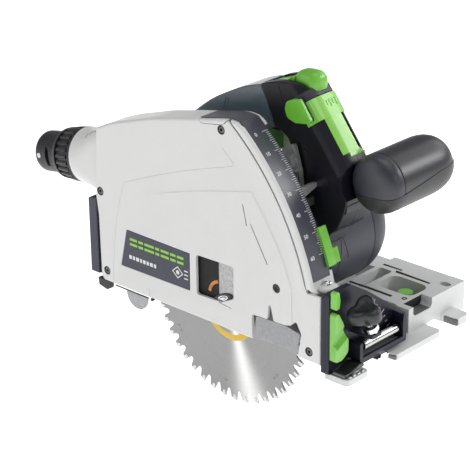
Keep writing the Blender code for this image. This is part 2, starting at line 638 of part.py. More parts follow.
motor = lathe(
    "motor_housing",
    [(47.0, 35.0), (48.0, 37.0), (48.0, 90.4), (44.6, 90.4), (44.6, 38.5), (12.0, 38.5), (12.0, 35.0)][::-1],
    (MOTOR[0], 0, MOTOR[1]), (0, 1, 0), NAVY, steps=32, closed=True,
)
cut(motor, *[
    prism("louvre", band(MOTOR, 40, 60, a, a + 9, 3), "XZ", 54, 82, cutter=True) for a in (-62, -44, -26, 196, 214, 232)
])
cap = lathe(
    "motor_end_cap",
    [(48.0, 90.9), (48.0, 113), (46.0, 119), (40.0, 123.6), (0, 124.4), (0, 121.6), (5.0, 121.6), (11.2, 120.0), (11.2, 108.6), (13.6, 108.6),
     (13.6, 119.6), (38.5, 120.2), (43.6, 116.4), (44.6, 112), (44.6, 90.9)][::-1],
    (MOTOR[0], 0, MOTOR[1]), (0, 1, 0), NAVY, steps=32, closed=True,
)
cut(cap, *[prism("vent", band(MOTOR, 24, 34, a, a + 14, 3), "XZ", 117, 130, cutter=True) for a in (45, 135, 225, 315)])
ring("motor_stator", (MOTOR[0], 56, MOTOR[1]), (0, 1, 0), 32, 23.0, 43.8, COPPER, steps=24)
ring("motor_rear_bearing", (MOTOR[0], 109, MOTOR[1]), (0, 1, 0), 8.0, 4.4, 10.9, STEEL, steps=24)

# rotor
fan_outline = []
for k in range(11):
    for radius, turn in ((14, 0), (37.5, 16), (37.9, 22), (14, 9)):
        fan_outline.append(arc(MOTOR, radius, 360 / 11 * k + turn, 360 / 11 * k + turn, 2)[0])
fan = prism("cooling_fan", fan_outline, "XZ", 40.5, 50, BLACK)
cut(fan, rod("fan_bore", (MOTOR[0], 30, MOTOR[1]), (0, 1, 0), 30, 4.4, cutter=True, sides=24))
ring("rotor_core", (MOTOR[0], 56, MOTOR[1]), (0, 1, 0), 32, 4.4, 21.8, STEEL, steps=20)
# tooth phases: the idler's tooth meets a gap of each neighbour
TO_IDLER = math.degrees(math.atan2(IDLER[1] - B[1], IDLER[0] - B[0]))
TO_MOTOR = math.degrees(math.atan2(MOTOR[1] - IDLER[1], MOTOR[0] - IDLER[0]))
DRIVE_PHASE = TO_IDLER
IDLER_PHASE = TO_IDLER + 180 + 180 / IDLER_TEETH
turns_left = ((TO_MOTOR - IDLER_PHASE) / (360 / IDLER_TEETH)) % 1.0
PINION_PHASE = TO_MOTOR + 180 + 180 / PINION_TEETH + turns_left * 360 / PINION_TEETH
pinion = prism("pinion_shaft", gear_outline(MOTOR, PINION_TEETH, PINION_PHASE), "XZ", 20.5, 28, STEEL)
join(pinion, rod("motor_shaft", (MOTOR[0], 18.6, MOTOR[1]), (0, 1, 0), 97.5, 4.0, sides=24))
idler = prism("idler_gear", gear_outline(IDLER, IDLER_TEETH, IDLER_PHASE), "XZ", 20.5, 28, STEEL)
join(idler, rod("idler_pin", (IDLER[0], 18.4, IDLER[1]), (0, 1, 0), 12.6, 5.0, sides=24))

# blade spindle
drive = prism("drive_gear", gear_outline(B, SPINDLE_TEETH, DRIVE_PHASE), "XZ", 20.5, 28, STEEL)
cut(drive, rod("drive_bore", (B[0], 10, B[1]), (0, 1, 0), 30, 7.3, cutter=True, sides=28))
spindle = rod("spindle", (B[0], -0.6, B[1]), (0, 1, 0), 31.4, 7.0, STEEL, sides=28)
cut(spindle, rod("thread_hole", (B[0], -5, B[1]), (0, 1, 0), 17, 4.3, cutter=True, sides=20))
lathe("inner_flange", [(9.7, -0.7), (9.7, 1.2), (19, 1.2), (19, 3.4), (11, 4.3), (7.3, 4.3), (7.3, -0.7)], (B[0], 0, B[1]), (0, 1, 0), STEEL, steps=24, closed=True)
lathe("outer_flange", [(4.4, -4.6), (14, -4.6), (19, -3.4), (19, -1.2), (4.4, -1.2)], (B[0], 0, B[1]), (0, 1, 0), STEEL, steps=24, closed=True)
bolt = rod("blade_bolt", (B[0], -8.8, B[1]), (0, 1, 0), 3.9, 7.0, BLACK, sides=24)
join(bolt, rod("shank", (B[0], -6, B[1]), (0, 1, 0), 16, 4.0, sides=20))
cut(bolt, rod("hex", (B[0], -12, B[1]), (0, 1, 0), 5.4, 3.2, cutter=True, sides=6))
blade = prism("saw_blade", blade_outline(), "XZ", -BLADE_T / 2, BLADE_T / 2, STEEL)
cut(blade, rod("bore", (B[0], -5, B[1]), (0, 1, 0), 10, 10.0, cutter=True, sides=28))

# ---------------------------------------------------------------- handle
Y0, Y1 = HANDLE_Y - HANDLE_HALF, HANDLE_Y + HANDLE_HALF
NOSE = [(-71, 163.5), (-65, 169.8), (-58, 175.6), (-38, 189.7), (-15.5, 201.3), (-5.0, 205.4), (9.6, 210.0), (24.2, 176.2), (14, 173.6), (2, 172.2),
        (-22.4, 170.0), (-40, 162.0), (-44, 150), (-37.2, 137.2), (-58, 118.4), (-68, 146)]
BODY = [(-57.4, 117.6), (-36.6, 136.4), (-14, 126.6), (20, 131), (44, 131), (51.4, 133.4), (50.2, 139.6), (45.8, 151), (41.6, 162.5), (38.6, 170), (33, 174.6),
        (24.8, 176.5), (10.2, 210.3), (20, 214.0), (30.5, 216.4), (44, 216.8), (53, 214.6), (58, 211.5), (92.5, 166.6), (99, 156), (104, 150), (99, 128), (88, 106)]
BODY = BODY + arc(MOTOR, 48.7, 22, 148, 12)
# the front pillar runs along DOWN from FRONT; ACROSS points out of its front
FRONT = Vector((58.0, 0.0, 211.5))
DOWN = Vector((34.5, 0.0, -44.9)).normalized()
ACROSS = Vector((-DOWN.z, 0.0, DOWN.x))
CORNER = 13.0


def pillar(name, outline, first, last, mat=None, cutter=False):
    """An outline of (out of the front, across the saw) points, drawn along the front pillar."""
    made = prism(name, outline, "XY", first, last, mat, cutter)
    turn = Matrix((
        (ACROSS.x, 0, DOWN.x, (FRONT.x) * MM),
        (ACROSS.y, 1, DOWN.y, HANDLE_Y * MM),
        (ACROSS.z, 0, DOWN.z, (FRONT.z) * MM),
        (0, 0, 0, 1),
    ))
    made.data.transform(turn)
    tidy(made.data)
    return made


def corner(side, grow, first, last, count=7):
    """Points on the pillar's rounded corner, from its front towards its side, at degrees from first to last."""
    centre = (-CORNER, side * (HANDLE_HALF - CORNER))
    return [
        (centre[0] + (CORNER + grow) * math.cos(math.radians(first + (last - first) * i / (count - 1))),
         centre[1] + side * (CORNER + grow) * math.sin(math.radians(first + (last - first) * i / (count - 1))))
        for i in range(count)
    ]


half_r = prism("handle_half_right", BODY, "XZ", Y0, HANDLE_Y - 0.2, BLACK)
half_l = prism("handle_half_left", BODY, "XZ", HANDLE_Y + 0.2, Y1, BLACK)
nose = prism("handle_nose", NOSE, "XZ", Y0 + 1.0, Y1 - 1.0, NAVY)
for piece, lowest, highest in ((half_r, Y0, HANDLE_Y), (half_l, HANDLE_Y, Y1)):
    hollow = prism("hollow", [(56, 139), (50.4, 153), (46.4, 166), (43, 178), (28, 184), (20, 198), (48, 200), (54.0, 198.8), (64, 188.0), (75, 174.4), (84, 162), (88, 150), (84, 134), (60, 134)],
                   "XZ", Y0 + 4, Y1 - 4, cutter=True)
    cut(
        piece,
        hollow,
        rod("grip_seat", (GRIP[0], 0, GRIP[1]), (0, 1, 0), 100, GRIP_R + 0.5, cutter=True, sides=32),
        prism("trigger_pocket", [(0.5, 160), (25.6, 162), (20.4, 181), (-4, 181)], "XZ", 38.2, 54, cutter=True),
        prism("button_pocket", [(6.0, 200.6), (30, 205.0), (36, 202.4), (63.5, 206.6), (64, 232), (4, 232)], "XZ", 35.6, 56.4, cutter=True),
        prism("dial_pocket", circle((-14, 115), 9.6, 24), "XZ", 60.4, 70, cutter=True),
        prism("case_relief", [(0, 90), (40, 90), (40, 145), (30.6, 158.6), (10, 152)], "XZ", 10, 26.6, cutter=True),
    )
cut(nose, prism("trigger_pocket_rear", [(0.5, 160), (25.6, 162), (20.4, 181), (-4, 181)], "XZ", 38.2, 54, cutter=True),
    prism("button_pocket_rear", [(6.0, 200.6), (30, 205.0), (30, 232), (4, 232)], "XZ", 35.6, 56.4, cutter=True))
cut(nose, rod("inlet_hole", (-76, HANDLE_Y, 147), (1, 0, 0.25), 22, 9.4, cutter=True, sides=28))
for piece in (half_r, half_l, nose):
    bevel(piece, 5.5 if piece is nose else 3.0, 1, 60)
for piece, side in ((half_r, -1), (half_l, 1)):
    wedge = corner(side, 0, 0, 90) + [(-CORNER, side * (HANDLE_HALF + 7)), (7, side * (HANDLE_HALF + 7)), (7, side * (HANDLE_HALF - CORNER))]
    cut(piece, pillar("front_corner", wedge, -16, 68, cutter=True))
inlet = rod("power_inlet", (-88, HANDLE_Y, 144), (1, 0, 0.25), 30, 9.0, BLACK, sides=28)
lathe_grip = [(0, 46.0), (22.6, 46.0), (GRIP_R, 47.4), (GRIP_R, 104), (23.0, 110), (20.0, 115), (15, 118.2), (0, 120.2)][::-1]
grip = lathe("front_grip", lathe_grip, (GRIP[0], 0, GRIP[1]), (0, 1, 0), BLACK, steps=28)
pad = lathe("front_grip_pad", [(0, 33.4), (13, 34.0), (19.5, 36.0), (23.2, 40.0), (GRIP_R, 45.6), (0, 45.6)][::-1], (GRIP[0], 0, GRIP[1]), (0, 1, 0), BLACK, steps=28)

# the green band wraps the pillar, and its tail runs down the front
outer = corner(-1, 1.3, 0, 49, 7)[::-1] + corner(1, 1.3, 0, 49, 7)
inner = corner(-1, 0.35, 0, 49, 7)[::-1] + corner(1, 0.35, 0, 49, 7)
strip = pillar("handle_strip", outer + inner[::-1], 4.6, 22.2, GREEN)
tail_out = corner(-1, 1.2, 0, 30, 5)[::-1] + [(1.2, 5.0)]
tail_in = corner(-1, 0.4, 0, 30, 5)[::-1] + [(0.4, 5.0)]
join(strip, pillar("strip_tail", tail_out + tail_in[::-1], 21.6, 54.0))

trigger = prism("trigger", rounded([(1.8, 170.6), (4.4, 158.0), (10.7, 152.4), (24.2, 156.2), (23.4, 170.6)], [0.5, 3, 3, 1.5, 0.5], 3), "XZ", 39.0, 53.2, GREEN)
join(trigger, prism("trigger_stem", [(6, 164), (20, 164), (17.2, 176.2), (5, 175.6)], "XZ", 41, 51))
button = prism("plunge_release_button", [(7.5, 207.2), (20, 211.6), (29, 214.4), (36.5, 222.0), (42, 225.6), (50, 225.6), (56.6, 222.0), (59.8, 217.0), (60.4, 213.0), (36.2, 208.8), (29.6, 211.6), (8, 206.4)], "XZ", 36.2, 55.8, GREEN)
bevel(button, 1.6, 2, 40)
side_lever = prism("side_lever", rounded([(39.3, 196.9), (41.4, 203.6), (47.6, 206.6), (55.0, 208.0), (68.2, 191.6), (60.5, 189.3), (50.2, 187.8), (42.0, 190.2)], [4, 4, 5, 1.5, 1.5, 6, 6, 5], 3), "XZ", 23.0, 26.2, GREEN)
bevel(side_lever, 1.0, 1, 40)
join(side_lever, rod("lever_boss", (47.6, 25.6, 197.4), (0, 1, 0), 2.1, 4.6, sides=20))
dial = rod("speed_dial", (-14, 61.0, 115), (0, 1, 0), 6.2, 9.1, BLACK, sides=32)
box("control_board", (54, 34.0, 151), (67, 36.0, 176), GREEN)
box("switch_body", (51.4, 40, 158), (66, 56, 180), BLACK)


# ---------------------------------------------------------------- each moving piece's origin goes onto its joint's axis
def pivot_at(name, point):
    piece = bpy.data.objects[name]
    shift = Vector([c * MM for c in point])
    piece.data.transform(Matrix.Translation(-shift))
    piece.location = shift


for name in ("gear_case", "gear_case_lid", "spindle_bearing", "motor_housing", "motor_end_cap", "motor_stator", "motor_rear_bearing", "handle_half_right",
             "handle_half_left", "handle_nose", "power_inlet", "front_grip", "front_grip_pad", "handle_strip", "control_board", "switch_body", "depth_stop_slider"):
    pivot_at(name, (P[0], 0, P[1]))
for name in ("saw_blade", "spindle", "drive_gear", "inner_flange", "outer_flange", "blade_bolt"):
    pivot_at(name, (B[0], 0, B[1]))
for name in ("pinion_shaft", "rotor_core", "cooling_fan"):
    pivot_at(name, (MOTOR[0], 0, MOTOR[1]))
pivot_at("idler_gear", (IDLER[0], 0, IDLER[1]))
for name in ("dust_port_collar", "dust_port_sleeve"):
    pivot_at(name, SPOUT)
for name in ("front_clamp_knob", "front_clamp_screw"):
    pivot_at(name, KNOB)
pivot_at("rear_clamp_knob", REAR_KNOB)
pivot_at("undercut_lever", (120, 0, 33))
pivot_at("rail_cam_front", (88, 120, 5.4))
pivot_at("rail_cam_rear", (-112, 120, 5.4))
pivot_at("side_lever", (47.6, 25, 197.4))
pivot_at("speed_dial", (-14, 61, 115))
pivot_at("trigger", (14, 46, 160))
pivot_at("plunge_release_button", (45, 46, 212))
pivot_at("bevel_range_tab", (120, -8, 66))
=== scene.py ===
"""Looks for the track plunge saw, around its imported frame. Lengths in the helpers are millimetres."""
import json
import math

import bmesh
import bpy
from mathutils import Matrix, Vector

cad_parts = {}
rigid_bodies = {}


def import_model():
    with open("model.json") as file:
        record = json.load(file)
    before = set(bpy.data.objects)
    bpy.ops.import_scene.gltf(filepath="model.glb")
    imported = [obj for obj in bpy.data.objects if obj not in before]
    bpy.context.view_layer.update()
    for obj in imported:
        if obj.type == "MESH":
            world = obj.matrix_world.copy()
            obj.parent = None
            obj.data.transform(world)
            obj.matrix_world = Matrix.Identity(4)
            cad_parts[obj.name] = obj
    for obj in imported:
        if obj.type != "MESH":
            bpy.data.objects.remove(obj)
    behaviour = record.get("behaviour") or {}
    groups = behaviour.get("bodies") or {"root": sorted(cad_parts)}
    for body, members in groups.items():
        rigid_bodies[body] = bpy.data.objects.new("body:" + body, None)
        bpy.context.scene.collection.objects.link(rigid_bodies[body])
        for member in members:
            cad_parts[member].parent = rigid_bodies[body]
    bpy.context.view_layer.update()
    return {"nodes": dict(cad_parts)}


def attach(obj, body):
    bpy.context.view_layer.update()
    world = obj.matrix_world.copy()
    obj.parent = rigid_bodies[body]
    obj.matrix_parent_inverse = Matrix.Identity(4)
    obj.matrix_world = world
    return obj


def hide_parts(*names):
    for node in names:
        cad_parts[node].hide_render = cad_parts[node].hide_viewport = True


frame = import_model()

MM = 0.001
P = (-119.8, 16.7)
B = (0.0, 22.0)
GUARD_R = 227.5
GROOVE_R = 221.2
MOTOR = (30.0, 77.4)
GRIP = (118.0, 149.0)
GRIP_R = 24.0
HANDLE_Y, HANDLE_HALF = 46.0, 19.5
SPOUT = (-171.0, 8.0, 110.8)
BLADE_R = 84.0
TEETH = 42
HIDDEN = bpy.data.collections.new("work")
bpy.context.scene.collection.children.link(HIDDEN)
HIDDEN.hide_render = True


# ================================================================ materials
def nodes_of(name):
    made = bpy.data.materials.new(name)
    made.use_nodes = True
    tree = made.node_tree
    return made, tree, tree.nodes["Principled BSDF"]


def node(tree, kind, **values):
    made = tree.nodes.new(kind)
    for key, value in values.items():
        if key in made.inputs:
            made.inputs[key].default_value = value
        else:
            setattr(made, key, value)
    return made


def noise(tree, scale, detail=3.0, rough=0.55, stretch=None, distortion=0.0):
    """Noise over object coordinates in metres; scale is features per metre."""
    place = node(tree, "ShaderNodeTexCoord")
    mapping = node(tree, "ShaderNodeMapping")
    mapping.inputs["Scale"].default_value = stretch or (1, 1, 1)
    tree.links.new(place.outputs["Object"], mapping.inputs["Vector"])
    made = node(tree, "ShaderNodeTexNoise")
    made.inputs["Scale"].default_value = scale
    made.inputs["Detail"].default_value = detail
    made.inputs["Roughness"].default_value = rough
    made.inputs["Distortion"].default_value = distortion
    tree.links.new(mapping.outputs["Vector"], made.inputs["Vector"])
    return made


def ramp(tree, source, stops, interpolation="LINEAR"):
    made = tree.nodes.new("ShaderNodeValToRGB")
    made.color_ramp.interpolation = interpolation
    while len(made.color_ramp.elements) < len(stops):
        made.color_ramp.elements.new(0.5)
    for element, (at, colour) in zip(made.color_ramp.elements, stops):
        element.position = at
        element.color = (*colour, 1.0) if len(colour) == 3 else colour
    tree.links.new(source, made.inputs["Fac"])
    return made


def maths(tree, operation, a, b=None, clamp=False):
    made = tree.nodes.new("ShaderNodeMath")
    made.operation = operation
    made.use_clamp = clamp
    for i, value in enumerate((a, b)):
        if value is None:
            continue
        if isinstance(value, (int, float)):
            made.inputs[i].default_value = value
        else:
            tree.links.new(value, made.inputs[i])
    return made.outputs[0]


def mix(tree, share, first, second):
    made = tree.nodes.new("ShaderNodeMix")
    made.data_type = "RGBA"
    for key, value in ((0, share), (6, first), (7, second)):
        if isinstance(value, (int, float)):
            made.inputs[key].default_value = value
        elif isinstance(value, tuple):
            made.inputs[key].default_value = (*value, 1.0)
        else:
            tree.links.new(value, made.inputs[key])
    return made.outputs[2]


def edge_wear(tree, amount=0.35):
    """0 on flats, up to 1 along convex edges."""
    geometry = tree.nodes.new("ShaderNodeNewGeometry")
    made = ramp(tree, geometry.outputs["Pointiness"], [(0.50, (0, 0, 0)), (0.62, (amount, amount, amount))])
    return made.outputs["Color"]


def surface(name, colour, roughness, metallic=0.0, vary=0.06, grain=(900, 0.0), blotch=45, rough_vary=0.08, coat=0.0,
            spec=0.5, wear=0.0, wear_colour=None, anisotropy=0.0, sheen=0.0, stretch=None, bump_distance=0.0001):
    """A moulded, painted or machined surface: slight colour drift, roughness drift and a fine grain in its relief."""
    made, tree, shader = nodes_of(name)
    drift = noise(tree, blotch, 4.0)
    dark = tuple(c * (1 - vary) for c in colour)
    light = tuple(min(1.0, c * (1 + vary)) for c in colour)
    tint = ramp(tree, drift.outputs["Fac"], [(0.3, dark), (0.7, light)]).outputs["Color"]
    fine = noise(tree, grain[0], 2.0, 0.6, stretch)
    speck = ramp(tree, fine.outputs["Fac"], [(0.35, (0.94, 0.94, 0.94)), (0.65, (1.0, 1.0, 1.0))]).outputs["Color"]
    multiply = tree.nodes.new("ShaderNodeMix")
    multiply.data_type = "RGBA"
    multiply.blend_type = "MULTIPLY"
    multiply.inputs[0].default_value = 1.0
    tree.links.new(tint, multiply.inputs[6])
    tree.links.new(speck, multiply.inputs[7])
    tint = multiply.outputs[2]
    if wear:
        tint = mix(tree, edge_wear(tree, wear), tint, wear_colour or light)
    tree.links.new(tint, shader.inputs["Base Color"])
    low, high = max(0.02, roughness - rough_vary), min(1.0, roughness + rough_vary)
    rough = ramp(tree, fine.outputs["Fac"], [(0.3, (low,) * 3), (0.7, (high,) * 3)]).outputs["Color"]
    tree.links.new(rough, shader.inputs["Roughness"])
    if grain[1]:
        bump = tree.nodes.new("ShaderNodeBump")
        bump.inputs["Strength"].default_value = grain[1]
        bump.inputs["Distance"].default_value = bump_distance
        tree.links.new(fine.outputs["Fac"], bump.inputs["Height"])
        tree.links.new(bump.outputs["Normal"], shader.inputs["Normal"])
    shader.inputs["Metallic"].default_value = metallic
    shader.inputs["Specular IOR Level"].default_value = spec
    shader.inputs["Coat Weight"].default_value = coat
    shader.inputs["Coat Roughness"].default_value = 0.12
    shader.inputs["Anisotropic"].default_value = anisotropy
    shader.inputs["Sheen Weight"].default_value = sheen
    made.diffuse_color = (*colour, 1.0)
    return made


WHITE = surface("guard_paint", (0.72, 0.72, 0.715), 0.36, vary=0.012, grain=(1500, 0.05), rough_vary=0.04, coat=0.25, wear=0.25, wear_colour=(0.80, 0.80, 0.79))
CAST = surface("base_paint", (0.64, 0.645, 0.65), 0.40, vary=0.03, grain=(1300, 0.16), rough_vary=0.06, wear=0.3, wear_colour=(0.78, 0.78, 0.77))
# grey that paints the shade on the base's pocket and notch floors, and the rubber of the feet's end stops
POCKET_SHADE_AND_RUBBER = surface("pocket_shade_and_rubber", (0.16, 0.16, 0.165), 0.6, 0.3, vary=0.15, grain=(700, 0.3))
BLACK = surface("black_nylon", (0.012, 0.012, 0.015), 0.42, vary=0.2, grain=(1600, 0.25), wear=0.5, wear_colour=(0.05, 0.05, 0.055))
KNOB_BLACK = surface("knob_nylon", (0.010, 0.011, 0.016), 0.34, vary=0.2, grain=(1300, 0.2), wear=0.6, wear_colour=(0.05, 0.055, 0.065))
NAVY = surface("navy_nylon", (0.0065, 0.007, 0.015), 0.36, spec=0.25, vary=0.15, grain=(1500, 0.18), wear=0.5, wear_colour=(0.06, 0.065, 0.09))
SPINE = surface("spine_nylon", (0.040, 0.043, 0.066), 0.5, vary=0.12, grain=(1500, 0.25), wear=0.4, wear_colour=(0.09, 0.095, 0.12))
SHELL = surface("handle_shell", (0.0035, 0.0035, 0.0075), 0.36, vary=0.2, grain=(2200, 0.25), spec=0.35, wear=0.3, wear_colour=(0.02, 0.021, 0.032))
COLLAR = surface("handle_collar", (0.030, 0.030, 0.040), 0.42, vary=0.15, grain=(2200, 0.35), wear=0.35, wear_colour=(0.06, 0.06, 0.075))
FAIRING = surface("fairing_lacquer", (0.060, 0.095, 0.125), 0.30, vary=0.06, grain=(1800, 0.05), coat=0.6, rough_vary=0.04)
MOTOR_SKIN = surface("motor_nylon", (0.014, 0.015, 0.024), 0.44, vary=0.12, grain=(1700, 0.3), wear=0.4, wear_colour=(0.07, 0.072, 0.10))
SLATE = surface("slate_nylon", (0.055, 0.057, 0.078), 0.34, spec=0.7, vary=0.10, grain=(1700, 0.3), wear=0.4, wear_colour=(0.10, 0.10, 0.13))
GRIP_SOFT = surface("grip_rubber", (0.0085, 0.009, 0.016), 0.36, vary=0.15, grain=(2400, 0.4), spec=0.7)
PAD_SOFT = surface("pad_rubber", (0.026, 0.027, 0.040), 0.40, vary=0.3, grain=(1100, 0.9), spec=0.7)
GREEN = surface("green_nylon", (0.125, 0.47, 0.018), 0.34, vary=0.06, grain=(1700, 0.15), coat=0.2, wear=0.5, wear_colour=(0.38, 0.75, 0.2))
# a paler copy of the green, a painted highlight for the band's front and tail where the light falls; the band's side
# stays in GREEN
GREEN_PAINTED_LIT = surface("strip_nylon_painted_lit", (0.24, 0.60, 0.085), 0.34, vary=0.06, grain=(1700, 0.15), coat=0.25, wear=0.5, wear_colour=(0.45, 0.80, 0.28))
DARK_GREEN = surface("trigger_nylon", (0.055, 0.22, 0.012), 0.42, vary=0.08, grain=(1700, 0.15))
STEEL = surface("ground_steel", (0.46, 0.46, 0.46), 0.32, 1.0, vary=0.08, grain=(1100, 0.1), wear=0.3, wear_colour=(0.7, 0.7, 0.7))
DARK_STEEL = surface("blackened_steel", (0.05, 0.05, 0.05), 0.35, 0.9, vary=0.15, grain=(1100, 0.15), wear=0.6, wear_colour=(0.3, 0.3, 0.3))
CHROME = surface("chrome_plate", (0.80, 0.80, 0.81), 0.10, 1.0, vary=0.02, grain=(1800, 0.01), rough_vary=0.03)
HEAD_STEEL = surface("screw_head", (0.10, 0.10, 0.105), 0.34, 0.9, vary=0.15, grain=(1100, 0.15), wear=0.6, wear_colour=(0.5, 0.5, 0.5))
ROD_CHROME = surface("rod_chrome", (0.50, 0.50, 0.51), 0.20, 1.0, vary=0.04, grain=(1800, 0.02), rough_vary=0.03)
DRUM = surface("drum_steel", (0.40, 0.40, 0.40), 0.40, 0.9, vary=0.25, blotch=600, grain=(1800, 0.5))
ALU = surface("die_cast", (0.50, 0.51, 0.52), 0.42, 0.85, vary=0.08, grain=(1200, 0.3), wear=0.3, wear_colour=(0.7, 0.7, 0.7))
COPPER = surface("copper_windings", (0.55, 0.22, 0.09), 0.35, 0.9, vary=0.15, grain=(500, 0.4), stretch=(1, 0.15, 1))
PRINT_WHITE = surface("white_print", (0.78, 0.79, 0.80), 0.5, vary=0.02, grain=(2000, 0.0))
PRINT_GREEN = surface("green_print", (0.30, 0.62, 0.06), 0.5, vary=0.03, grain=(2000, 0.0))
PRINT_YELLOW = surface("yellow_print", (0.80, 0.55, 0.05), 0.45, vary=0.08, grain=(2000, 0.0))
# near-black that paints the shade in gaps, seams, slots, holes and behind the window
PAINTED_SHADE = surface("painted_gap_shade", (0.004, 0.004, 0.005), 0.7, vary=0.2, grain=(800, 0.0))
BOARD = surface("circuit_board", (0.03, 0.16, 0.05), 0.35, vary=0.2, grain=(800, 0.2))
LABEL = surface("label_foil", (0.036, 0.040, 0.064), 0.42, vary=0.10, grain=(2500, 0.08), rough_vary=0.05)


def clear_plastic():
    made, tree, shader = nodes_of("clear_plastic")
    fine = noise(tree, 300, 3.0)
    tint = ramp(tree, fine.outputs["Fac"], [(0.3, (0.34, 0.35, 0.36)), (0.7, (0.42, 0.43, 0.44))]).outputs["Color"]
    tree.links.new(tint, shader.inputs["Base Color"])
    rough = ramp(tree, fine.outputs["Fac"], [(0.3, (0.10,) * 3), (0.7, (0.2,) * 3)]).outputs["Color"]
    tree.links.new(rough, shader.inputs["Roughness"])
    shader.inputs["Alpha"].default_value = 0.78
    shader.inputs["Coat Weight"].default_value = 0.6
    made.diffuse_color = (0.4, 0.4, 0.4, 0.78)
    return made


CLEAR = clear_plastic()


def turned_steel(name, centre, colour, roughness, ring_scale=900.0, painted_sheen=0.35, painted_highlight_spokes=((107, 0.7), (-73, 1.0))):
    """Circular brushing about the Y axis through centre: fine rings in colour, roughness and relief, plus spokes of
    painted highlight, a lighter base colour at fixed angles that stands for the light such a finish catches.
    """
    made, tree, shader = nodes_of(name)
    place = node(tree, "ShaderNodeTexCoord")
    split = node(tree, "ShaderNodeSeparateXYZ")
    tree.links.new(place.outputs["Object"], split.inputs[0])
    x = maths(tree, "SUBTRACT", split.outputs["X"], centre[0] * MM)
    z = maths(tree, "SUBTRACT", split.outputs["Z"], centre[1] * MM)
    radius = maths(tree, "SQRT", maths(tree, "ADD", maths(tree, "MULTIPLY", x, x), maths(tree, "MULTIPLY", z, z)))
    along_ring = node(tree, "ShaderNodeCombineXYZ")
    tree.links.new(radius, along_ring.inputs["X"])
    rings = node(tree, "ShaderNodeTexNoise")
    rings.inputs["Scale"].default_value = ring_scale * 2
    rings.inputs["Detail"].default_value = 4.0
    tree.links.new(along_ring.outputs[0], rings.inputs["Vector"])
    angle = maths(tree, "ARCTAN2", z, x)
    # painted highlight: lobes of lighter base colour at the listed angles round the centre
    light = None
    for degrees, strength in painted_highlight_spokes:
        turn = maths(tree, "COSINE", maths(tree, "SUBTRACT", angle, math.radians(degrees)))
        lobe = maths(tree, "POWER", maths(tree, "MAXIMUM", turn, 0.0), 60.0)
        lobe = maths(tree, "MULTIPLY", lobe, strength)
        light = lobe if light is None else maths(tree, "ADD", light, lobe)
    base = mix(tree, maths(tree, "MULTIPLY", light, painted_sheen, True), tuple(colour), (0.93, 0.93, 0.92))
    streak = ramp(tree, rings.outputs["Fac"], [(0.3, (0.86, 0.86, 0.86)), (0.7, (1, 1, 1))]).outputs["Color"]
    multiply = tree.nodes.new("ShaderNodeMix")
    multiply.data_type = "RGBA"
    multiply.blend_type = "MULTIPLY"
    multiply.inputs[0].default_value = 1.0
    tree.links.new(base, multiply.inputs[6])
    tree.links.new(streak, multiply.inputs[7])
    tree.links.new(multiply.outputs[2], shader.inputs["Base Color"])
    rough = ramp(tree, rings.outputs["Fac"], [(0.3, (roughness - 0.06,) * 3), (0.7, (roughness + 0.08,) * 3)]).outputs["Color"]
    tree.links.new(rough, shader.inputs["Roughness"])
    bump = tree.nodes.new("ShaderNodeBump")
    bump.inputs["Strength"].default_value = 0.12
    bump.inputs["Distance"].default_value = 0.00005
    tree.links.new(rings.outputs["Fac"], bump.inputs["Height"])
    tree.links.new(bump.outputs["Normal"], shader.inputs["Normal"])
    shader.inputs["Metallic"].default_value = 0.75
    made.diffuse_color = (*colour, 1)
    return made


# the blade's and the flanges' steel, with painted highlight spokes in the base colour
BLADE_STEEL = turned_steel("blade_steel", B, (0.32, 0.32, 0.32), 0.30, painted_sheen=0.95)
TURNED = turned_steel("turned_steel", B, (0.45, 0.45, 0.45), 0.26, painted_sheen=0.5)


# ================================================================ shapes
def adopt(name, mesh, mat=None):
    made = bpy.data.objects.new(name, mesh)
    bpy.context.scene.collection.objects.link(made)
    if mat is not None:
        made.data.materials.clear()
        made.data.materials.append(mat)
    return made


def tidy(mesh, weld=2e-6):
    work = bmesh.new()
    work.from_mesh(mesh)
    bmesh.ops.remove_doubles(work, verts=work.verts, dist=weld)
    bmesh.ops.dissolve_limit(work, angle_limit=math.radians(0.1), verts=work.verts, edges=work.edges)
    bmesh.ops.recalc_face_normals(work, faces=work.faces)
    if work.calc_volume(signed=True) < 0:
        bmesh.ops.reverse_faces(work, faces=work.faces)
    work.to_mesh(mesh)
    work.free()
    return mesh


def evaluated_mesh(source):
    bpy.context.view_layer.update()
    return bpy.data.meshes.new_from_object(source.evaluated_get(bpy.context.evaluated_depsgraph_get()))


def bake(target):
    mesh = evaluated_mesh(target)
    mesh.name = target.name
    target.modifiers.clear()
    target.data = mesh
    return target


AXES = {
    "XZ": Matrix(((1, 0, 0, 0), (0, 0, 1, 0), (0, 1, 0, 0), (0, 0, 0, 1))),
    "XY": Matrix.Identity(4),
    "YZ": Matrix(((0, 0, 1, 0), (1, 0, 0, 0), (0, 1, 0, 0), (0, 0, 0, 1))),
}


def prism(name, outline, plane, low, high, mat=None, holes=()):
    curve = bpy.data.curves.new(name, "CURVE")
    curve.dimensions = "2D"
    curve.fill_mode = "BOTH"
    curve.extrude = (high - low) / 2 * MM
    for loop in [outline, *holes]:
        spline = curve.splines.new("POLY")
        spline.points.add(len(loop) - 1)
        for point, (u, v) in zip(spline.points, loop):
            point.co = (u * MM, v * MM, 0, 1)
        spline.use_cyclic_u = True
    source = bpy.data.objects.new(name + "_outline", curve)
    bpy.context.scene.collection.objects.link(source)
    mesh = evaluated_mesh(source)
    bpy.data.objects.remove(source, do_unlink=True)
    mesh.transform(AXES[plane] @ Matrix.Translation((0, 0, (low + high) / 2 * MM)))
    tidy(mesh)
    return adopt(name, mesh, mat)


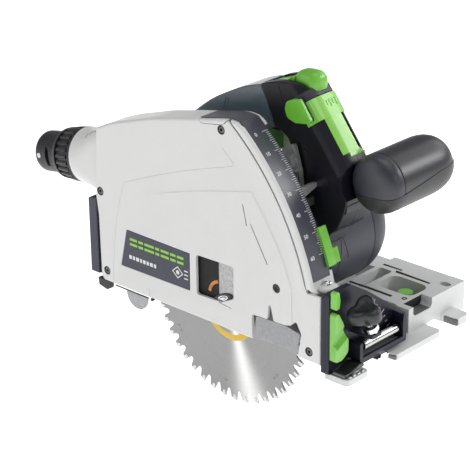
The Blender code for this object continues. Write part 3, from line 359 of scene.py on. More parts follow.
def box(name, low, high, mat=None):
    work = bmesh.new()
    bmesh.ops.create_cube(work, size=1.0)
    bmesh.ops.scale(work, vec=[(b - a) * MM for a, b in zip(low, high)], verts=work.verts)
    bmesh.ops.translate(work, vec=[(a + b) / 2 * MM for a, b in zip(low, high)], verts=work.verts)
    mesh = bpy.data.meshes.new(name)
    work.to_mesh(mesh)
    work.free()
    return adopt(name, mesh, mat)


def along(axis):
    return Vector((0, 0, 1)).rotation_difference(Vector(axis).normalized()).to_matrix().to_4x4()


def rod(name, start, axis, length, radius, mat=None, sides=48, end_radius=None, turn=0.0):
    work = bmesh.new()
    bmesh.ops.create_cone(work, cap_ends=True, segments=sides, radius1=radius * MM,
                          radius2=(radius if end_radius is None else end_radius) * MM, depth=length * MM)
    bmesh.ops.translate(work, vec=(0, 0, length / 2 * MM), verts=work.verts)
    mesh = bpy.data.meshes.new(name)
    work.to_mesh(mesh)
    work.free()
    mesh.transform(Matrix.Translation([c * MM for c in start]) @ along(axis) @ Matrix.Rotation(math.radians(turn), 4, "Z"))
    return adopt(name, mesh, mat)


def lathe(name, profile, start, axis, mat=None, steps=64, closed=False):
    mesh = bpy.data.meshes.new(name)
    edges = [(i, i + 1) for i in range(len(profile) - 1)]
    if closed:
        edges.append((len(profile) - 1, 0))
    mesh.from_pydata([(r * MM, 0, h * MM) for r, h in profile], edges, [])
    source = bpy.data.objects.new(name + "_profile", mesh)
    bpy.context.scene.collection.objects.link(source)
    screw = source.modifiers.new("turn", "SCREW")
    screw.steps = screw.render_steps = steps
    screw.use_merge_vertices = True
    screw.merge_threshold = 0.00001
    turned = evaluated_mesh(source)
    bpy.data.objects.remove(source, do_unlink=True)
    tidy(turned)
    turned.transform(Matrix.Translation([c * MM for c in start]) @ along(axis))
    return adopt(name, turned, mat)


def boolean(target, operation, *tools):
    for tool in tools:
        modifier = target.modifiers.new(operation.lower(), "BOOLEAN")
        modifier.operation = operation
        modifier.solver = "EXACT"
        modifier.object = tool
    bake(target)
    for tool in tools:
        bpy.data.objects.remove(tool, do_unlink=True)
    work = bmesh.new()
    work.from_mesh(target.data)
    bmesh.ops.remove_doubles(work, verts=work.verts, dist=1e-6)
    bmesh.ops.dissolve_limit(work, angle_limit=math.radians(0.1), verts=work.verts, edges=work.edges)
    work.to_mesh(target.data)
    work.free()
    return target


def cut(target, *tools):
    return boolean(target, "DIFFERENCE", *tools)


def join(target, *tools):
    return boolean(target, "UNION", *tools)


def soften(target, width=0.5, segments=3, angle=32.0, clamp=True):
    """Rounded edges and smooth shading, left as modifiers."""
    modifier = target.modifiers.new("soften", "BEVEL")
    modifier.width = width * MM
    modifier.segments = segments
    modifier.limit_method = "ANGLE"
    modifier.angle_limit = math.radians(angle)
    modifier.use_clamp_overlap = clamp
    modifier.harden_normals = False
    return shade(target)


def shade(target, angle=40.0):
    target.data.shade_smooth()
    target.data.set_sharp_from_angle(angle=math.radians(angle))
    return target


def arc(centre, radius, first, last, count):
    return [(centre[0] + radius * math.cos(math.radians(first + (last - first) * i / (count - 1))),
             centre[1] + radius * math.sin(math.radians(first + (last - first) * i / (count - 1)))) for i in range(count)]


def circle(centre, radius, count=48):
    return arc(centre, radius, 0, 360 - 360 / count, count)


def band(centre, inner, outer, first, last, count):
    return arc(centre, outer, first, last, count) + arc(centre, inner, last, first, count)


def rounded(points, radius, steps=5):
    out = []
    for i, p in enumerate(points):
        p = Vector(p)
        a, b = Vector(points[i - 1]), Vector(points[(i + 1) % len(points)])
        r = radius[i] if isinstance(radius, (list, tuple)) else radius
        if r <= 0:
            out.append(tuple(p))
            continue
        u, v = (a - p), (b - p)
        lu, lv = u.length, v.length
        u.normalize()
        v.normalize()
        half = math.acos(max(-1, min(1, u.dot(v)))) / 2
        if half > math.radians(88):
            out.append(tuple(p))
            continue
        reach = min(r / math.tan(half), lu * 0.48, lv * 0.48)
        real = reach * math.tan(half)
        centre = p + (u + v).normalized() * (real / math.sin(half))
        start, end = p + u * reach - centre, p + v * reach - centre
        turn = start.angle_signed(end)
        for k in range(steps + 1):
            out.append(tuple(centre + Matrix.Rotation(-turn * k / steps, 2) @ start))
    return out


def inset(points, amount):
    out = []
    for i, p in enumerate(points):
        a, b, c = Vector(points[i - 1]), Vector(p), Vector(points[(i + 1) % len(points)])
        n1, n2 = (b - a).normalized(), (c - b).normalized()
        n1, n2 = Vector((n1.y, -n1.x)), Vector((n2.y, -n2.x))
        mean = (n1 + n2).normalized()
        out.append(tuple(b + mean * amount / max(0.35, mean.dot(n1))))
    return out


def wire(name, points, radius, mat=None, cyclic=False, resolution=2):
    """A round bead along points in millimetres, as a mesh."""
    curve = bpy.data.curves.new(name, "CURVE")
    curve.dimensions = "3D"
    curve.bevel_depth = radius * MM
    curve.bevel_resolution = resolution
    curve.use_fill_caps = not cyclic
    spline = curve.splines.new("POLY")
    spline.points.add(len(points) - 1)
    for point, p in zip(spline.points, points):
        point.co = (*[c * MM for c in p], 1)
    spline.use_cyclic_u = cyclic
    source = bpy.data.objects.new(name + "_line", curve)
    bpy.context.scene.collection.objects.link(source)
    mesh = evaluated_mesh(source)
    bpy.data.objects.remove(source, do_unlink=True)
    work = bmesh.new()
    work.from_mesh(mesh)
    bmesh.ops.remove_doubles(work, verts=work.verts, dist=2e-6)
    bmesh.ops.recalc_face_normals(work, faces=work.faces)
    work.to_mesh(mesh)
    work.free()
    return adopt(name, mesh, mat)


def stand(piece, body, *replaced, slot=None):
    """Rides on a body and stands for CAD nodes."""
    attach(piece, body)
    if replaced:
        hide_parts(*replaced)
    return piece


def spline(points, per=6):
    """Points along a smooth curve through these, ends included."""
    out = []
    for i in range(len(points) - 1):
        p0, p1, p2, p3 = (Vector(points[max(i - 1, 0)]), Vector(points[i]), Vector(points[i + 1]), Vector(points[min(i + 2, len(points) - 1)]))
        for k in range(per):
            t = k / per
            out.append(tuple(0.5 * ((2 * p1) + (p2 - p0) * t + (2 * p0 - 5 * p1 + 4 * p2 - p3) * t * t + (3 * p1 - p0 - 3 * p2 + p3) * t ** 3)))
    out.append(tuple(points[-1]))
    return out


def round_rim(target, at, width, segments=6, axis=1, chosen=None):
    """Rounds the rim edges that lie in the plane where the axis coordinate is at, in millimetres."""
    work = bmesh.new()
    work.from_mesh(target.data)
    rim = [e for e in work.edges if all(abs(v.co[axis] - at * MM) < 1e-5 for v in e.verts)
           and len(e.link_faces) == 2 and e.calc_face_angle(0) > math.radians(40)
           and (chosen is None or chosen((e.verts[0].co + e.verts[1].co) / 2 / MM))]
    bmesh.ops.bevel(work, geom=rim, offset=width * MM, segments=segments, profile=0.5, affect="EDGES", clamp_overlap=True)
    bmesh.ops.remove_doubles(work, verts=work.verts, dist=2e-6)
    work.to_mesh(target.data)
    work.free()
    return target


def flat_normals(target):
    """Shading that stays flat on the large faces."""
    modifier = target.modifiers.new("flat", "WEIGHTED_NORMAL")
    modifier.keep_sharp = True
    modifier.weight = 80
    return target


def finish_edges(target, width=0.4, segments=2, angle=40.0):
    shade(target, angle)
    if width:
        modifier = target.modifiers.new("soften", "BEVEL")
        modifier.width = width * MM
        modifier.segments = segments
        modifier.limit_method = "ANGLE"
        modifier.angle_limit = math.radians(angle)
        modifier.use_clamp_overlap = True
    return flat_normals(target)


def loft_mesh(name, rows, mat=None, close_rows=False, cap=True):
    """A skin through rows of points, each a closed loop, in millimetres."""
    work = bmesh.new()
    loops = [[work.verts.new([c * MM for c in p]) for p in row] for row in rows]
    pairs = list(zip(loops, loops[1:] + ([loops[0]] if close_rows else [])))
    for first, second in pairs:
        for i in range(len(first)):
            j = (i + 1) % len(first)
            work.faces.new((first[i], first[j], second[j], second[i]))
    if cap and not close_rows:
        work.faces.new(loops[0][::-1])
        work.faces.new(loops[-1])
    bmesh.ops.recalc_face_normals(work, faces=work.faces)
    if work.calc_volume(signed=True) < 0:
        bmesh.ops.reverse_faces(work, faces=work.faces)
    mesh = bpy.data.meshes.new(name)
    work.to_mesh(mesh)
    work.free()
    return adopt(name, mesh, mat)


def duplicate(source, name, mat=None):
    made = adopt(name, source.data.copy(), mat)
    return made


# ================================================================ camera, floor and lights
def place_camera():
    data = bpy.data.cameras.new("camera")
    data.lens = 141.88
    data.sensor_width = 36.0
    camera = bpy.data.objects.new("camera", data)
    bpy.context.scene.collection.objects.link(camera)
    right = Vector((0.73328564, 0.67981392, -0.01204999))
    up = Vector((-0.26181959, 0.29868066, 0.91773655))
    back = -Vector((-0.62748918, 0.66980811, -0.39700684))
    turn = Matrix((right, up, back)).transposed()
    camera.matrix_world = Matrix.Translation((0.94137, -0.99798, 0.67993)) @ turn.to_4x4()
    data.clip_end = 20.0
    bpy.context.scene.camera = camera


def lamp(name, place, aim, size, power, colour=(1, 1, 1), size_y=None, spread=None):
    data = bpy.data.lights.new(name, "AREA")
    data.shape = "RECTANGLE"
    data.size = size
    data.size_y = size_y or size
    data.energy = power
    data.color = colour
    if spread:
        data.spread = math.radians(spread)
    made = bpy.data.objects.new(name, data)
    bpy.context.scene.collection.objects.link(made)
    made.location = place
    made.rotation_euler = (Vector(aim) - Vector(place)).to_track_quat("-Z", "Y").to_euler()
    return made


place_camera()
bpy.context.scene.view_settings.view_transform = "Standard"
world = bpy.data.worlds.new("studio")
bpy.context.scene.world = world
world.use_nodes = True
world.node_tree.nodes["Background"].inputs["Color"].default_value = (1, 1, 1, 1)
world.node_tree.nodes["Background"].inputs["Strength"].default_value = 0.30
FLOOR_Z = -62.4
floor = box("floor", (-14000, -14000, FLOOR_Z - 30), (14000, 14000, FLOOR_Z))
floor_mat, floor_tree, floor_shader = nodes_of("paper_sweep")
floor_grain = noise(floor_tree, 60, 3.0)
floor_tint = ramp(floor_tree, floor_grain.outputs["Fac"], [(0.3, (0.96, 0.96, 0.96)), (0.7, (1.0, 1.0, 1.0))])
floor_tree.links.new(floor_tint.outputs["Color"], floor_shader.inputs["Base Color"])
floor_shader.inputs["Roughness"].default_value = 0.9
floor_shader.inputs["Specular IOR Level"].default_value = 0.1
floor_shader.inputs["Emission Color"].default_value = (1, 1, 1, 1)
floor_shader.inputs["Emission Strength"].default_value = 0.72
floor.data.materials.append(floor_mat)
lamp("key_above", (0.15, -0.1, 1.6), (0, 0.03, 0.05), 1.3, 8)
lamp("fill_left", (-1.1, -1.4, 0.8), (0, 0, 0.08), 1.1, 4.2)
lamp("front_right", (1.6, -0.35, 0.9), (0.05, 0.03, 0.08), 0.8, 2.6)
lamp("rim_back", (0.2, 1.6, 1.0), (0.03, 0.06, 0.12), 1.0, 5)
lamp("strip_panel", (0.86, 0.92, 0.72), (0.08, 0.0, 0.14), 0.62, 6.0, size_y=0.36)


# ================================================================ guard: housing and cover
TOPLINE = [(-139, 149), (-124.5, 155.8), (-108, 162), (-90, 167.6), (-73, 173), (-55, 177.2), (-39, 181), (-11, 187), (8, 191.2), (15, 192), (21.5, 191.6)]
FRONT_OUT = arc(P, GUARD_R, 49.2, 14.95, 64)
OUTLINE = [(-136, 10), (-139.6, 13.5), (-140.3, 70), (-142.6, 87)] + spline(TOPLINE, 5) + FRONT_OUT + [(101.6, 72.4), (108.4, 69.6), (108.4, 10)]
CHAMBER = inset([(-140.2, 10), (-140.3, 70), (-142.6, 87), (-139, 149), (-108, 162), (-73, 173), (-39, 181), (15, 192)]
                + arc(P, GUARD_R, 49.6, 14.95, 32) + [(108.4, 69.6), (108.4, 10)], 7.0)
WINDOW = [(-24.5, 66.8), (17.3, 68), (17.3, 39.5), (3.2, 32.4), (-24.5, 31.2)]
SPLINTER = [(36.9, 32.6), (36.6, 5), (84.6, 5), (89.4, 31.2), (83.8, 41.4), (78.5, 36.0), (72.8, 34.3), (60.5, 33.8), (55.7, 51.6), (53.4, 33.4)]
LABEL_AT = [(-105.5, 66.2), (-31.5, 65.7), (-31.9, 31.9), (-113.6, 30.9)]
SCREWS = {"rear_upper": (-136.0, 92.8), "rear_lower": (-131.5, 20.5), "top": (6.1, 182.0), "front": (97.2, 19.1)}


def slot_between(centre, radius, half, first, last, count):
    a, b = math.radians(first), math.radians(last)
    start = (centre[0] + radius * math.cos(a), centre[1] + radius * math.sin(a))
    end = (centre[0] + radius * math.cos(b), centre[1] + radius * math.sin(b))
    return (arc(centre, radius + half, first, last, count) + arc(end, half, last, last + 180, 13)[1:-1]
            + arc(centre, radius - half, last, first, count) + arc(start, half, first + 180, first + 360, 13)[1:-1])


def make_guard():
    whole = prism("guard_shape", OUTLINE, "XZ", -14.0, 14.0, WHITE)
    round_rim(whole, -14.0, 2.3, 6)
    round_rim(whole, 14.0, 2.0, 4)
    housing = duplicate(whole, "guard_shell", WHITE)
    seat = [(-170, 0), (-170, 230), (-17.6, 230), (-17.6, 184.9), (-15.3, 183.0), (7.4, 186.7)] + arc(P, GROOVE_R, 52.8, 14.6, 60) + [(125, 69.2), (125, 0)]
    cut(
        housing,
        prism("seat", seat, "XZ", -20, -11.3),
        prism("chamber", CHAMBER, "XZ", -13, 11.5),
        box("mouth", (-93, -12.5, 0), (93, 11.5, 40)),
        prism("strip_seat", band(P, 225.4, 240, 12.0, 52.5, 60), "XZ", -11.6, 20),
        prism("neck_slot", slot_between(P, 119.92, 18.2, -4, 36.2, 30), "XZ", 5, 20),
        box("spout_mouth", (-150, -8, 92), (-132, 11, 136)),
        rod("axle_hole", (P[0], 4, P[1]), (0, 1, 0), 30, 5.3),
        *[rod("screw_hole", (x, -20, z), (0, 1, 0), 16, 3.9) for x, z in SCREWS.values()],
    )
    join(housing, prism("rim_step", band(P, 212, 222, 16.0, 50.0, 60), "XZ", 3.8, 13.8))
    cut(housing, prism("rim_relief", band(P, 217, 240, 16.4, 48.5, 60), "XZ", 9.9, 20))
    finish_edges(housing, 0.35, 2, 50)
    stand(housing, "cradle", "guard_housing")

    lid_seat = [(-170, 0), (-170, 230), (-18.0, 230), (-18.0, 184.7), (-15.4, 182.5), (7.2, 186.1)] + arc(P, GROOVE_R - 1.75, 52.6, 15.6, 60) + [(94.6, 68.7), (125, 68.7), (125, 0)]
    lid = whole
    lid.name = "guard_lid"
    boolean(lid, "INTERSECT", prism("lid_seat", lid_seat, "XZ", -20, -11.5))

    # the raised field of the cover: highest along its upper and front edges, and level with the cover lower down
    line = spline([(-99, 97.3), (-80.2, 104.6), (-50.3, 115.3), (-21.3, 123.9), (9.4, 131.8), (36.7, 138.7)], 8) + spline(
        [(38.6, 138.4), (54.3, 116.9), (70.0, 91.1), (77.5, 72.6), (79.9, 68.6)], 8)
    rows = [[], [], [], [], [], []]
    for i, (x, z) in enumerate(line):
        before, after = Vector(line[max(i - 1, 0)]), Vector(line[min(i + 1, len(line) - 1)])
        inward = Vector(((after - before).y, -(after - before).x)).normalized()
        share = max(0.0, min(1.0, (x + 99) / 60))
        high = 0.62 * (share * share * (3 - 2 * share))
        low_z = 70 - 52 * max(0.0, min(1.0, (x - 5) / 50)) ** 1.0
        low_z = min(low_z, z - 8)
        rows[0].append((x, -13.2, z))
        rows[1].append((x, -13.98, z))
        rows[2].append((x + inward.x * 0.75, -13.98 - high, z + inward.y * 0.75))
        rows[3].append((x + inward.x * 1.1, -13.98 - high, z + inward.y * 1.1))
        rows[4].append((x, -13.97, low_z))
        rows[5].append((x, -13.2, low_z))
    field = loft_mesh("raised_field", list(zip(*rows)), None)
    join(lid, field)
    cut(
        lid,
        prism("window", rounded(WINDOW, 2.5, 6), "XZ", -20, -5),
        prism("splinter_gap", rounded(SPLINTER, [1.5, 0, 0, 2, 2, 2, 3, 1.2, 1.2, 1.2], 5), "XZ", -20, -5),
        prism("label_seat", LABEL_AT, "XZ", -20, -13.35),
        prism("slit_upper", [(28.0, 125.6), (29.2, 125.6), (33.0, 108.5), (31.9, 108.2)], "XZ", -20, -5),
        prism("slit_lower", [(35.9, 111.2), (37.1, 111.2), (54.8, 81.6), (53.7, 81.0)], "XZ", -20, -5),
        prism("slit_under", [(0.6, 32.3), (14.6, 30.7), (14.5, 30.0), (0.5, 31.2)], "XZ", -20, -12.9),
        wire("scribe_left", [(x, -14.0, z) for x, z in spline([(-124.6, 11), (-123.9, 18.4), (-121.2, 44.8), (-118.3, 64.6), (-114.0, 84.4), (-108.0, 104.5)], 6)
                             + spline([(-107.2, 106.6), (-105.8, 108.8), (-103.6, 109.9)], 3) + spline([(-100, 111.6), (-67.5, 125.1), (-32.2, 138.6), (15.2, 153.9)], 8)
                             + spline([(17.2, 154.7), (18.6, 155.6), (19.0, 156.9), (18.2, 158.2)], 3) + [(6.5, 167.4)]], 0.34),
        wire("scribe_hook", [(-82.2, -14.0, 19.4), (-80.4, -14.0, 17.6), (-80.0, -14.0, 15.2), (-80.2, -14.0, 12.6), (-76.0, -14.0, 10.9), (-72.6, -14.0, 9.6)], 0.42),
        rod("plug_seat", (63.5, -30, 63.5), (0, 1, 0), 17.0, 3.95),
        *[rod("screw_seat", (x, -30, z), (0, 1, 0), 25, 3.9) for x, z in SCREWS.values()],
    )
    finish_edges(lid, 0.0, 2, 42)
    stand(lid, "cradle", "guard_cover")


make_guard()


# ================================================================ scale strip, rear strip, label, screws and windows
def on_arc(degrees, radius, y):
    t = math.radians(degrees)
    return Vector((P[0] + radius * math.cos(t), y, P[1] + radius * math.sin(t)))


def merge(name, parts, mat=None):
    """Several loose shapes as one object, such as the ticks of a scale."""
    work = bmesh.new()
    for part in parts:
        work.from_mesh(part.data)
        bpy.data.objects.remove(part, do_unlink=True)
    mesh = bpy.data.meshes.new(name)
    work.to_mesh(mesh)
    work.free()
    return adopt(name, mesh, mat)


def figures(text, size, thickness, place):
    """Digits as a thin mesh; place takes a point (u, v, w) of the text's plane to millimetres."""
    curve = bpy.data.curves.new("figures", "FONT")
    curve.body = text
    curve.size = size
    curve.align_x = "CENTER"
    curve.align_y = "CENTER"
    curve.extrude = thickness / 2
    curve.resolution_u = 3
    curve.offset = 0.012 * size
    source = bpy.data.objects.new("figures", curve)
    bpy.context.scene.collection.objects.link(source)
    mesh = evaluated_mesh(source)
    bpy.data.objects.remove(source, do_unlink=True)
    for v in mesh.vertices:
        v.co = place(v.co.x, v.co.y, v.co.z) * MM
    work = bmesh.new()
    work.from_mesh(mesh)
    bmesh.ops.remove_doubles(work, verts=work.verts, dist=1e-6)
    bmesh.ops.recalc_face_normals(work, faces=work.faces)
    work.to_mesh(mesh)
    work.free()
    return adopt("figures", mesh)


def make_strip():
    strip = prism("scale_strip", band(P, 225.7, 226.9, 15.6, 50.4, 90), "XZ", -10.7, 9.6, SLATE)
    finish_edges(strip, 0.2, 2, 45)
    stand(strip, "cradle", "depth_scale_strip")
    # the strip's dark tail that carries on over the top of the housing
    top = [(x, z + 0.15) for x, z in spline([(-19, 185.4), (-11, 187.0), (8, 191.2), (15, 192.0), (21.5, 191.6), (25.2, 190.9)], 6)]
    tail = prism("strip_tail_plate", top + [(x, z + 0.75) for x, z in top[::-1]], "XZ", -10.7, 9.4, SLATE)
    finish_edges(tail, 0.2, 2, 45)
    stand(tail, "cradle", slot="depth_scale_strip")
    marks = []
    at = {0: 47.15, 10: 42.6, 20: 38.2, 30: 33.75, 40: 29.25, 50: 24.8, 60: 20.35}
    for k in range(0, 61):
        low = (k // 10) * 10
        high = min(60, low + 10)
        share = (k - low) / 10
        degrees = at[low] + (at[high] - at[low]) * share
        long_mark = 5.4 if k % 10 == 0 else 4.2 if k % 5 == 0 else 2.9
        half = math.degrees(0.21 / 227)
        outline = band(P, 226.8, 227.0, degrees - half, degrees + half, 2)
        marks.append(prism("mark", outline, "XZ", 9.1 - 1.25 * long_mark, 9.1))
    for k, degrees in at.items():
        turn = degrees - 0.2
        def place(u, v, w, turn=turn):
            t = turn + math.degrees(v / 227.0)
            return on_arc(t, 226.95 + w, -5.4 + u)
        marks.append(figures(str(k), 4.6, 0.16, place))
    printed = merge("scale_marks", marks, PRINT_WHITE)
    stand(printed, "cradle", slot="depth_scale_strip")
    spine = prism("rear_strip", [(-153.6, 13.5), (-143.6, 13.5), (-143.6, 84), (-153.6, 82)], "XZ", -12.6, 12.8, SPINE)
    round_rim(spine, -12.6, 1.1, 4)
    cut(spine, box("spine_hollow", (-152, -11, 30), (-145.4, 11.2, 95)))
    join(spine, box("spine_web_a", (-152.5, -11.5, 63), (-145.0, 11.7, 64.4)), box("spine_web_b", (-152.5, -11.5, 46), (-145.0, 11.7, 47.2)),
         prism("spine_hook", rounded([(-153.0, 72), (-150.6, 74), (-150.4, 81.6), (-153.0, 81.4)], 0.6), "XZ", -9, 9))
    finish_edges(spine, 0.35, 2, 45)
    stand(spine, "cradle", "rear_edge_strip")
    foot = prism("rear_heel", rounded([(-144.6, 10.4), (-128.6, 10.4), (-129.6, 3.6), (-134, 1.2), (-143.6, 3.4)], 0.9), "XZ", -13.2, -8.6, BLACK)
    finish_edges(foot, 0.5, 2, 45)
    stand(foot, "cradle", slot="rear_edge_strip")
    # a black box that paints the shadow in the gap between strip and guard
    gap = box("strip_gap", (-143.7, -11.0, 14.0), (-141.0, 11.0, 72.0), PAINTED_SHADE)
    stand(gap, "cradle", slot="rear_edge_strip")
    hinge = wire("flap_hinge", [(-122.6, -12.9, 8.9), (-110, -12.9, 8.9), (-95, -12.9, 8.9), (-82.4, -12.9, 9.0)], 0.62, BLACK)
    stand(hinge, "cradle", slot="splinter_window")
    nub = rod("flap_nub", (-78.4, -13.8, 8.9), (0, 1, 0), 3.2, 1.4, BLACK, sides=24)
    finish_edges(nub, 0.3, 2)
    stand(nub, "cradle", slot="splinter_window")
    flap = prism("chip_flap", [(-110.0, 8.6)] + arc((-96.6, 7.4), 12.9, 176, 364, 26) + [(-83.2, 8.6)], "XZ", -12.6, -11.9, CLEAR)
    finish_edges(flap, 0.2, 2)
    stand(flap, "cradle", slot="splinter_window")


def make_label():
    plate = prism("plate", rounded(inset(LABEL_AT, 0.35), 0.8, 4), "XZ", -14.3, -13.5, LABEL)
    finish_edges(plate, 0.12, 2)
    stand(plate, "cradle", "nameplate")
    y0, y1 = -14.36, -14.2

    def bar(x, z, w, h, slant=0.0):
        return prism("bar", [(x, z), (x + w, z), (x + w + slant, z + h), (x + slant, z + h)], "XZ", y0, y1)

    # a generic mark: a long green double rule that a few gaps break up
    green, white = [], []
    x = -101.6
    for k, w in enumerate((8.6, 5.4, 11.2, 4.6, 9.4, 6.2, 7.4)):
        green.append(bar(x, 57.6, w, 2.2))
        green.append(bar(x, 53.0, w, 2.2))
        x += w + 1.7
    stand(merge("label_rule", green, PRINT_GREEN), "cradle", slot="nameplate")
    x = -103.0
    for w in (3.2, 2.4, 3.6, 2.2, 3.0, 2.6, 3.4, 2.6):
        white.append(bar(x, 40.4, w, 3.4))
        x += w + 1.3
    cx, cz = -45.6, 44.6
    square = [(cx, cz + 5.6), (cx + 6.4, cz), (cx, cz - 5.6), (cx - 6.4, cz)]
    white.append(prism("diamond", square, "XZ", y0, y1, holes=[[(cx, cz + 4.4), (cx - 5.1, cz), (cx, cz - 4.4), (cx + 5.1, cz)]]))
    white.append(prism("dot", circle((cx, cz), 1.9, 24), "XZ", y0, y1))
    for k in range(3):
        white.append(bar(-38.2, 47.6 - 3.4 * k, 4.4, 1.1))
    stand(merge("label_marks", white, PRINT_WHITE), "cradle", slot="nameplate")


def make_screws():
    for name, (x, z) in SCREWS.items():
        # a black ring set in each screw's recess, which paints the recess's shade
        recess_shade_ring = lathe("ring_" + name, [(3.05, -0.1), (3.75, -0.1), (3.86, 0.6), (3.86, 3.0), (3.05, 3.0)][::-1], (x, -14.0, z), (0, 1, 0), BLACK, steps=40, closed=True)
        shade(recess_shade_ring)
        stand(recess_shade_ring, "cradle", slot="guard_screw_" + name)
        head = lathe("head_" + name, [(0, 5.2), (1.9, 5.2), (1.9, 3.2), (2.9, 3.2), (2.95, 0.9), (2.6, 0.35), (2.0, 0.1), (1.5, 0.15), (1.35, 0.5), (1.35, 2.0), (0, 2.2)][::-1],
                     (x, -14.0, z), (0, 1, 0), HEAD_STEEL, steps=40)
        shade(head)
        stand(head, "cradle", "guard_screw_" + name)
    plug = lathe("cover_plug", [(0, 0.5), (1.9, 0.5), (2.3, -0.1), (3.5, -0.4), (3.85, 0.1), (3.85, 0.9), (0, 0.9)][::-1], (63.5, -14.0, 63.5), (0, 1, 0), BLACK, steps=48)
    shade(plug)
    stand(plug, "cradle", slot="guard_cover")


def make_windows():
    pane = prism("splinter_pane", rounded([(40.6, 31.6), (40.6, 12.2), (83.4, 12.2), (87.6, 30.6), (72.6, 33.4), (53.2, 32.8)], 1.2, 3), "XZ", -13.4, -12.6, CLEAR)
    ribs = []
    for k in range(7):
        x = 45.0 + k * 5.2
        ribs.append(box("rib", (x, -12.7, 13.0), (x + 1.7, -11.6, 30.6)))
    grille = merge("splinter_ribs", ribs, DARK_STEEL)
    finish_edges(grille, 0.2, 2)
    finish_edges(pane, 0.2, 2)
    stand(pane, "cradle", "splinter_window")
    stand(grille, "cradle", slot="splinter_window")
    # what shows through the blade-change window: a black sheet on the left that paints the shade of the interior, a
    # steel drum and plate, the stud with its ring, and an orange sheet that paints a reflection
    painted_shade_sheet = prism("window_painted_shade", rounded([(-44, 76), (-2.0, 76), (-0.6, 50), (2.4, 24), (-44, 24)], 1.0), "XZ", -10.3, -9.6, PAINTED_SHADE)
    finish_edges(painted_shade_sheet, 0.2, 2)
    stand(painted_shade_sheet, "cradle", slot="guard_housing")
    steel = []
    for i in range(15):
        t = i / 14
        a = math.radians(-68 + 136 * t)
        steel.append((8.3 + 12.0 * math.sin(a), -9.4 - 1.9 * math.cos(a)))
    drum = prism("window_drum", [(-2.9, -9.2)] + [(u, v) for u, v in steel] + [(19.5, -9.2)], "XY", 36.2, 76.0, DRUM)
    shade(drum, 50)
    stand(drum, "cradle", slot="guard_housing")
    plate = prism("window_plate", rounded([(3.0, 76), (24, 76), (24, 30), (5.6, 30)], 1.0), "XZ", -10.6, -10.0, STEEL)
    finish_edges(plate, 0.2, 2)
    stand(plate, "cradle", slot="guard_housing")
    opening = [(-24, 31.7), (3.1, 32.9), (16.9, 39.8), (16.9, 67.4), (-24, 66.3)]
    # both stand slanted, as the end of a shaft that leans away
    slant = Matrix(((1.42, 0, 0, 3.0 * MM), (0, 1, 0, 0), (0.6, 0, 0.58, 35.2 * MM), (0, 0, 0, 1)))
    stud = lathe("window_stud", [(0, 1.4), (5.2, 1.4), (5.4, 0.4), (4.3, 0.0), (4.1, 0.5), (2.9, 0.6), (2.6, -0.2), (1.6, -0.9), (0, -1.1)][::-1], (0, -12.3, 0), (0, 1, 0), CHROME, steps=48)
    stud.data.transform(slant)
    boolean(stud, "INTERSECT", prism("stud_room", opening, "XZ", -14, -8))
    shade(stud)
    stand(stud, "cradle", slot="guard_housing")
    ring = lathe("window_ring", [(4.2, -0.15), (7.0, -0.15), (7.4, 0.3), (7.4, 1.5), (4.2, 1.5)][::-1], (0, -12.3, 0), (0, 1, 0), BLACK, steps=48, closed=True)
    ring.data.transform(slant)
    boolean(ring, "INTERSECT", prism("ring_room", opening, "XZ", -14, -8))
    shade(ring)
    stand(ring, "cradle", slot="guard_housing")
    # an orange sheet that paints the reflection of the blade's print; it is not a part
    painted_sheen = prism("window_reflection", band((0.0, 35.0), 11.6, 14.4, 104, 172, 18), "XZ", -10.6, -10.35, surface("amber_sheen", (0.62, 0.20, 0.015), 0.35, vary=0.35, blotch=160))
    stand(painted_sheen, "cradle", slot="guard_housing")


make_strip()
make_label()
make_screws()
make_windows()


# ================================================================ dust port
OUT = Vector((-math.cos(math.radians(10.0)), 0, -math.sin(math.radians(10.0))))
SIDE, UP = Vector((0, 1, 0)), Vector((-math.sin(math.radians(10.0)), 0, math.cos(math.radians(10.0))))
MOUTH = Vector(SPOUT)


def ring_points(centre, radius, count=72):
    return [centre + SIDE * (radius * math.cos(2 * math.pi * i / count)) + UP * (radius * math.sin(2 * math.pi * i / count)) for i in range(count)]


def oblong_points(x, half_y, half_z, zc, power, shear=0.0, count=72, yc=1.0):
    out = []
    for i in range(count):
        t = 2 * math.pi * i / count
        c, s = math.cos(t), math.sin(t)
        z = zc + half_z * math.copysign(abs(s) ** power, s)
        out.append(Vector((x + shear * (z - zc), yc + half_y * math.copysign(abs(c) ** power, c), z)))
    return out


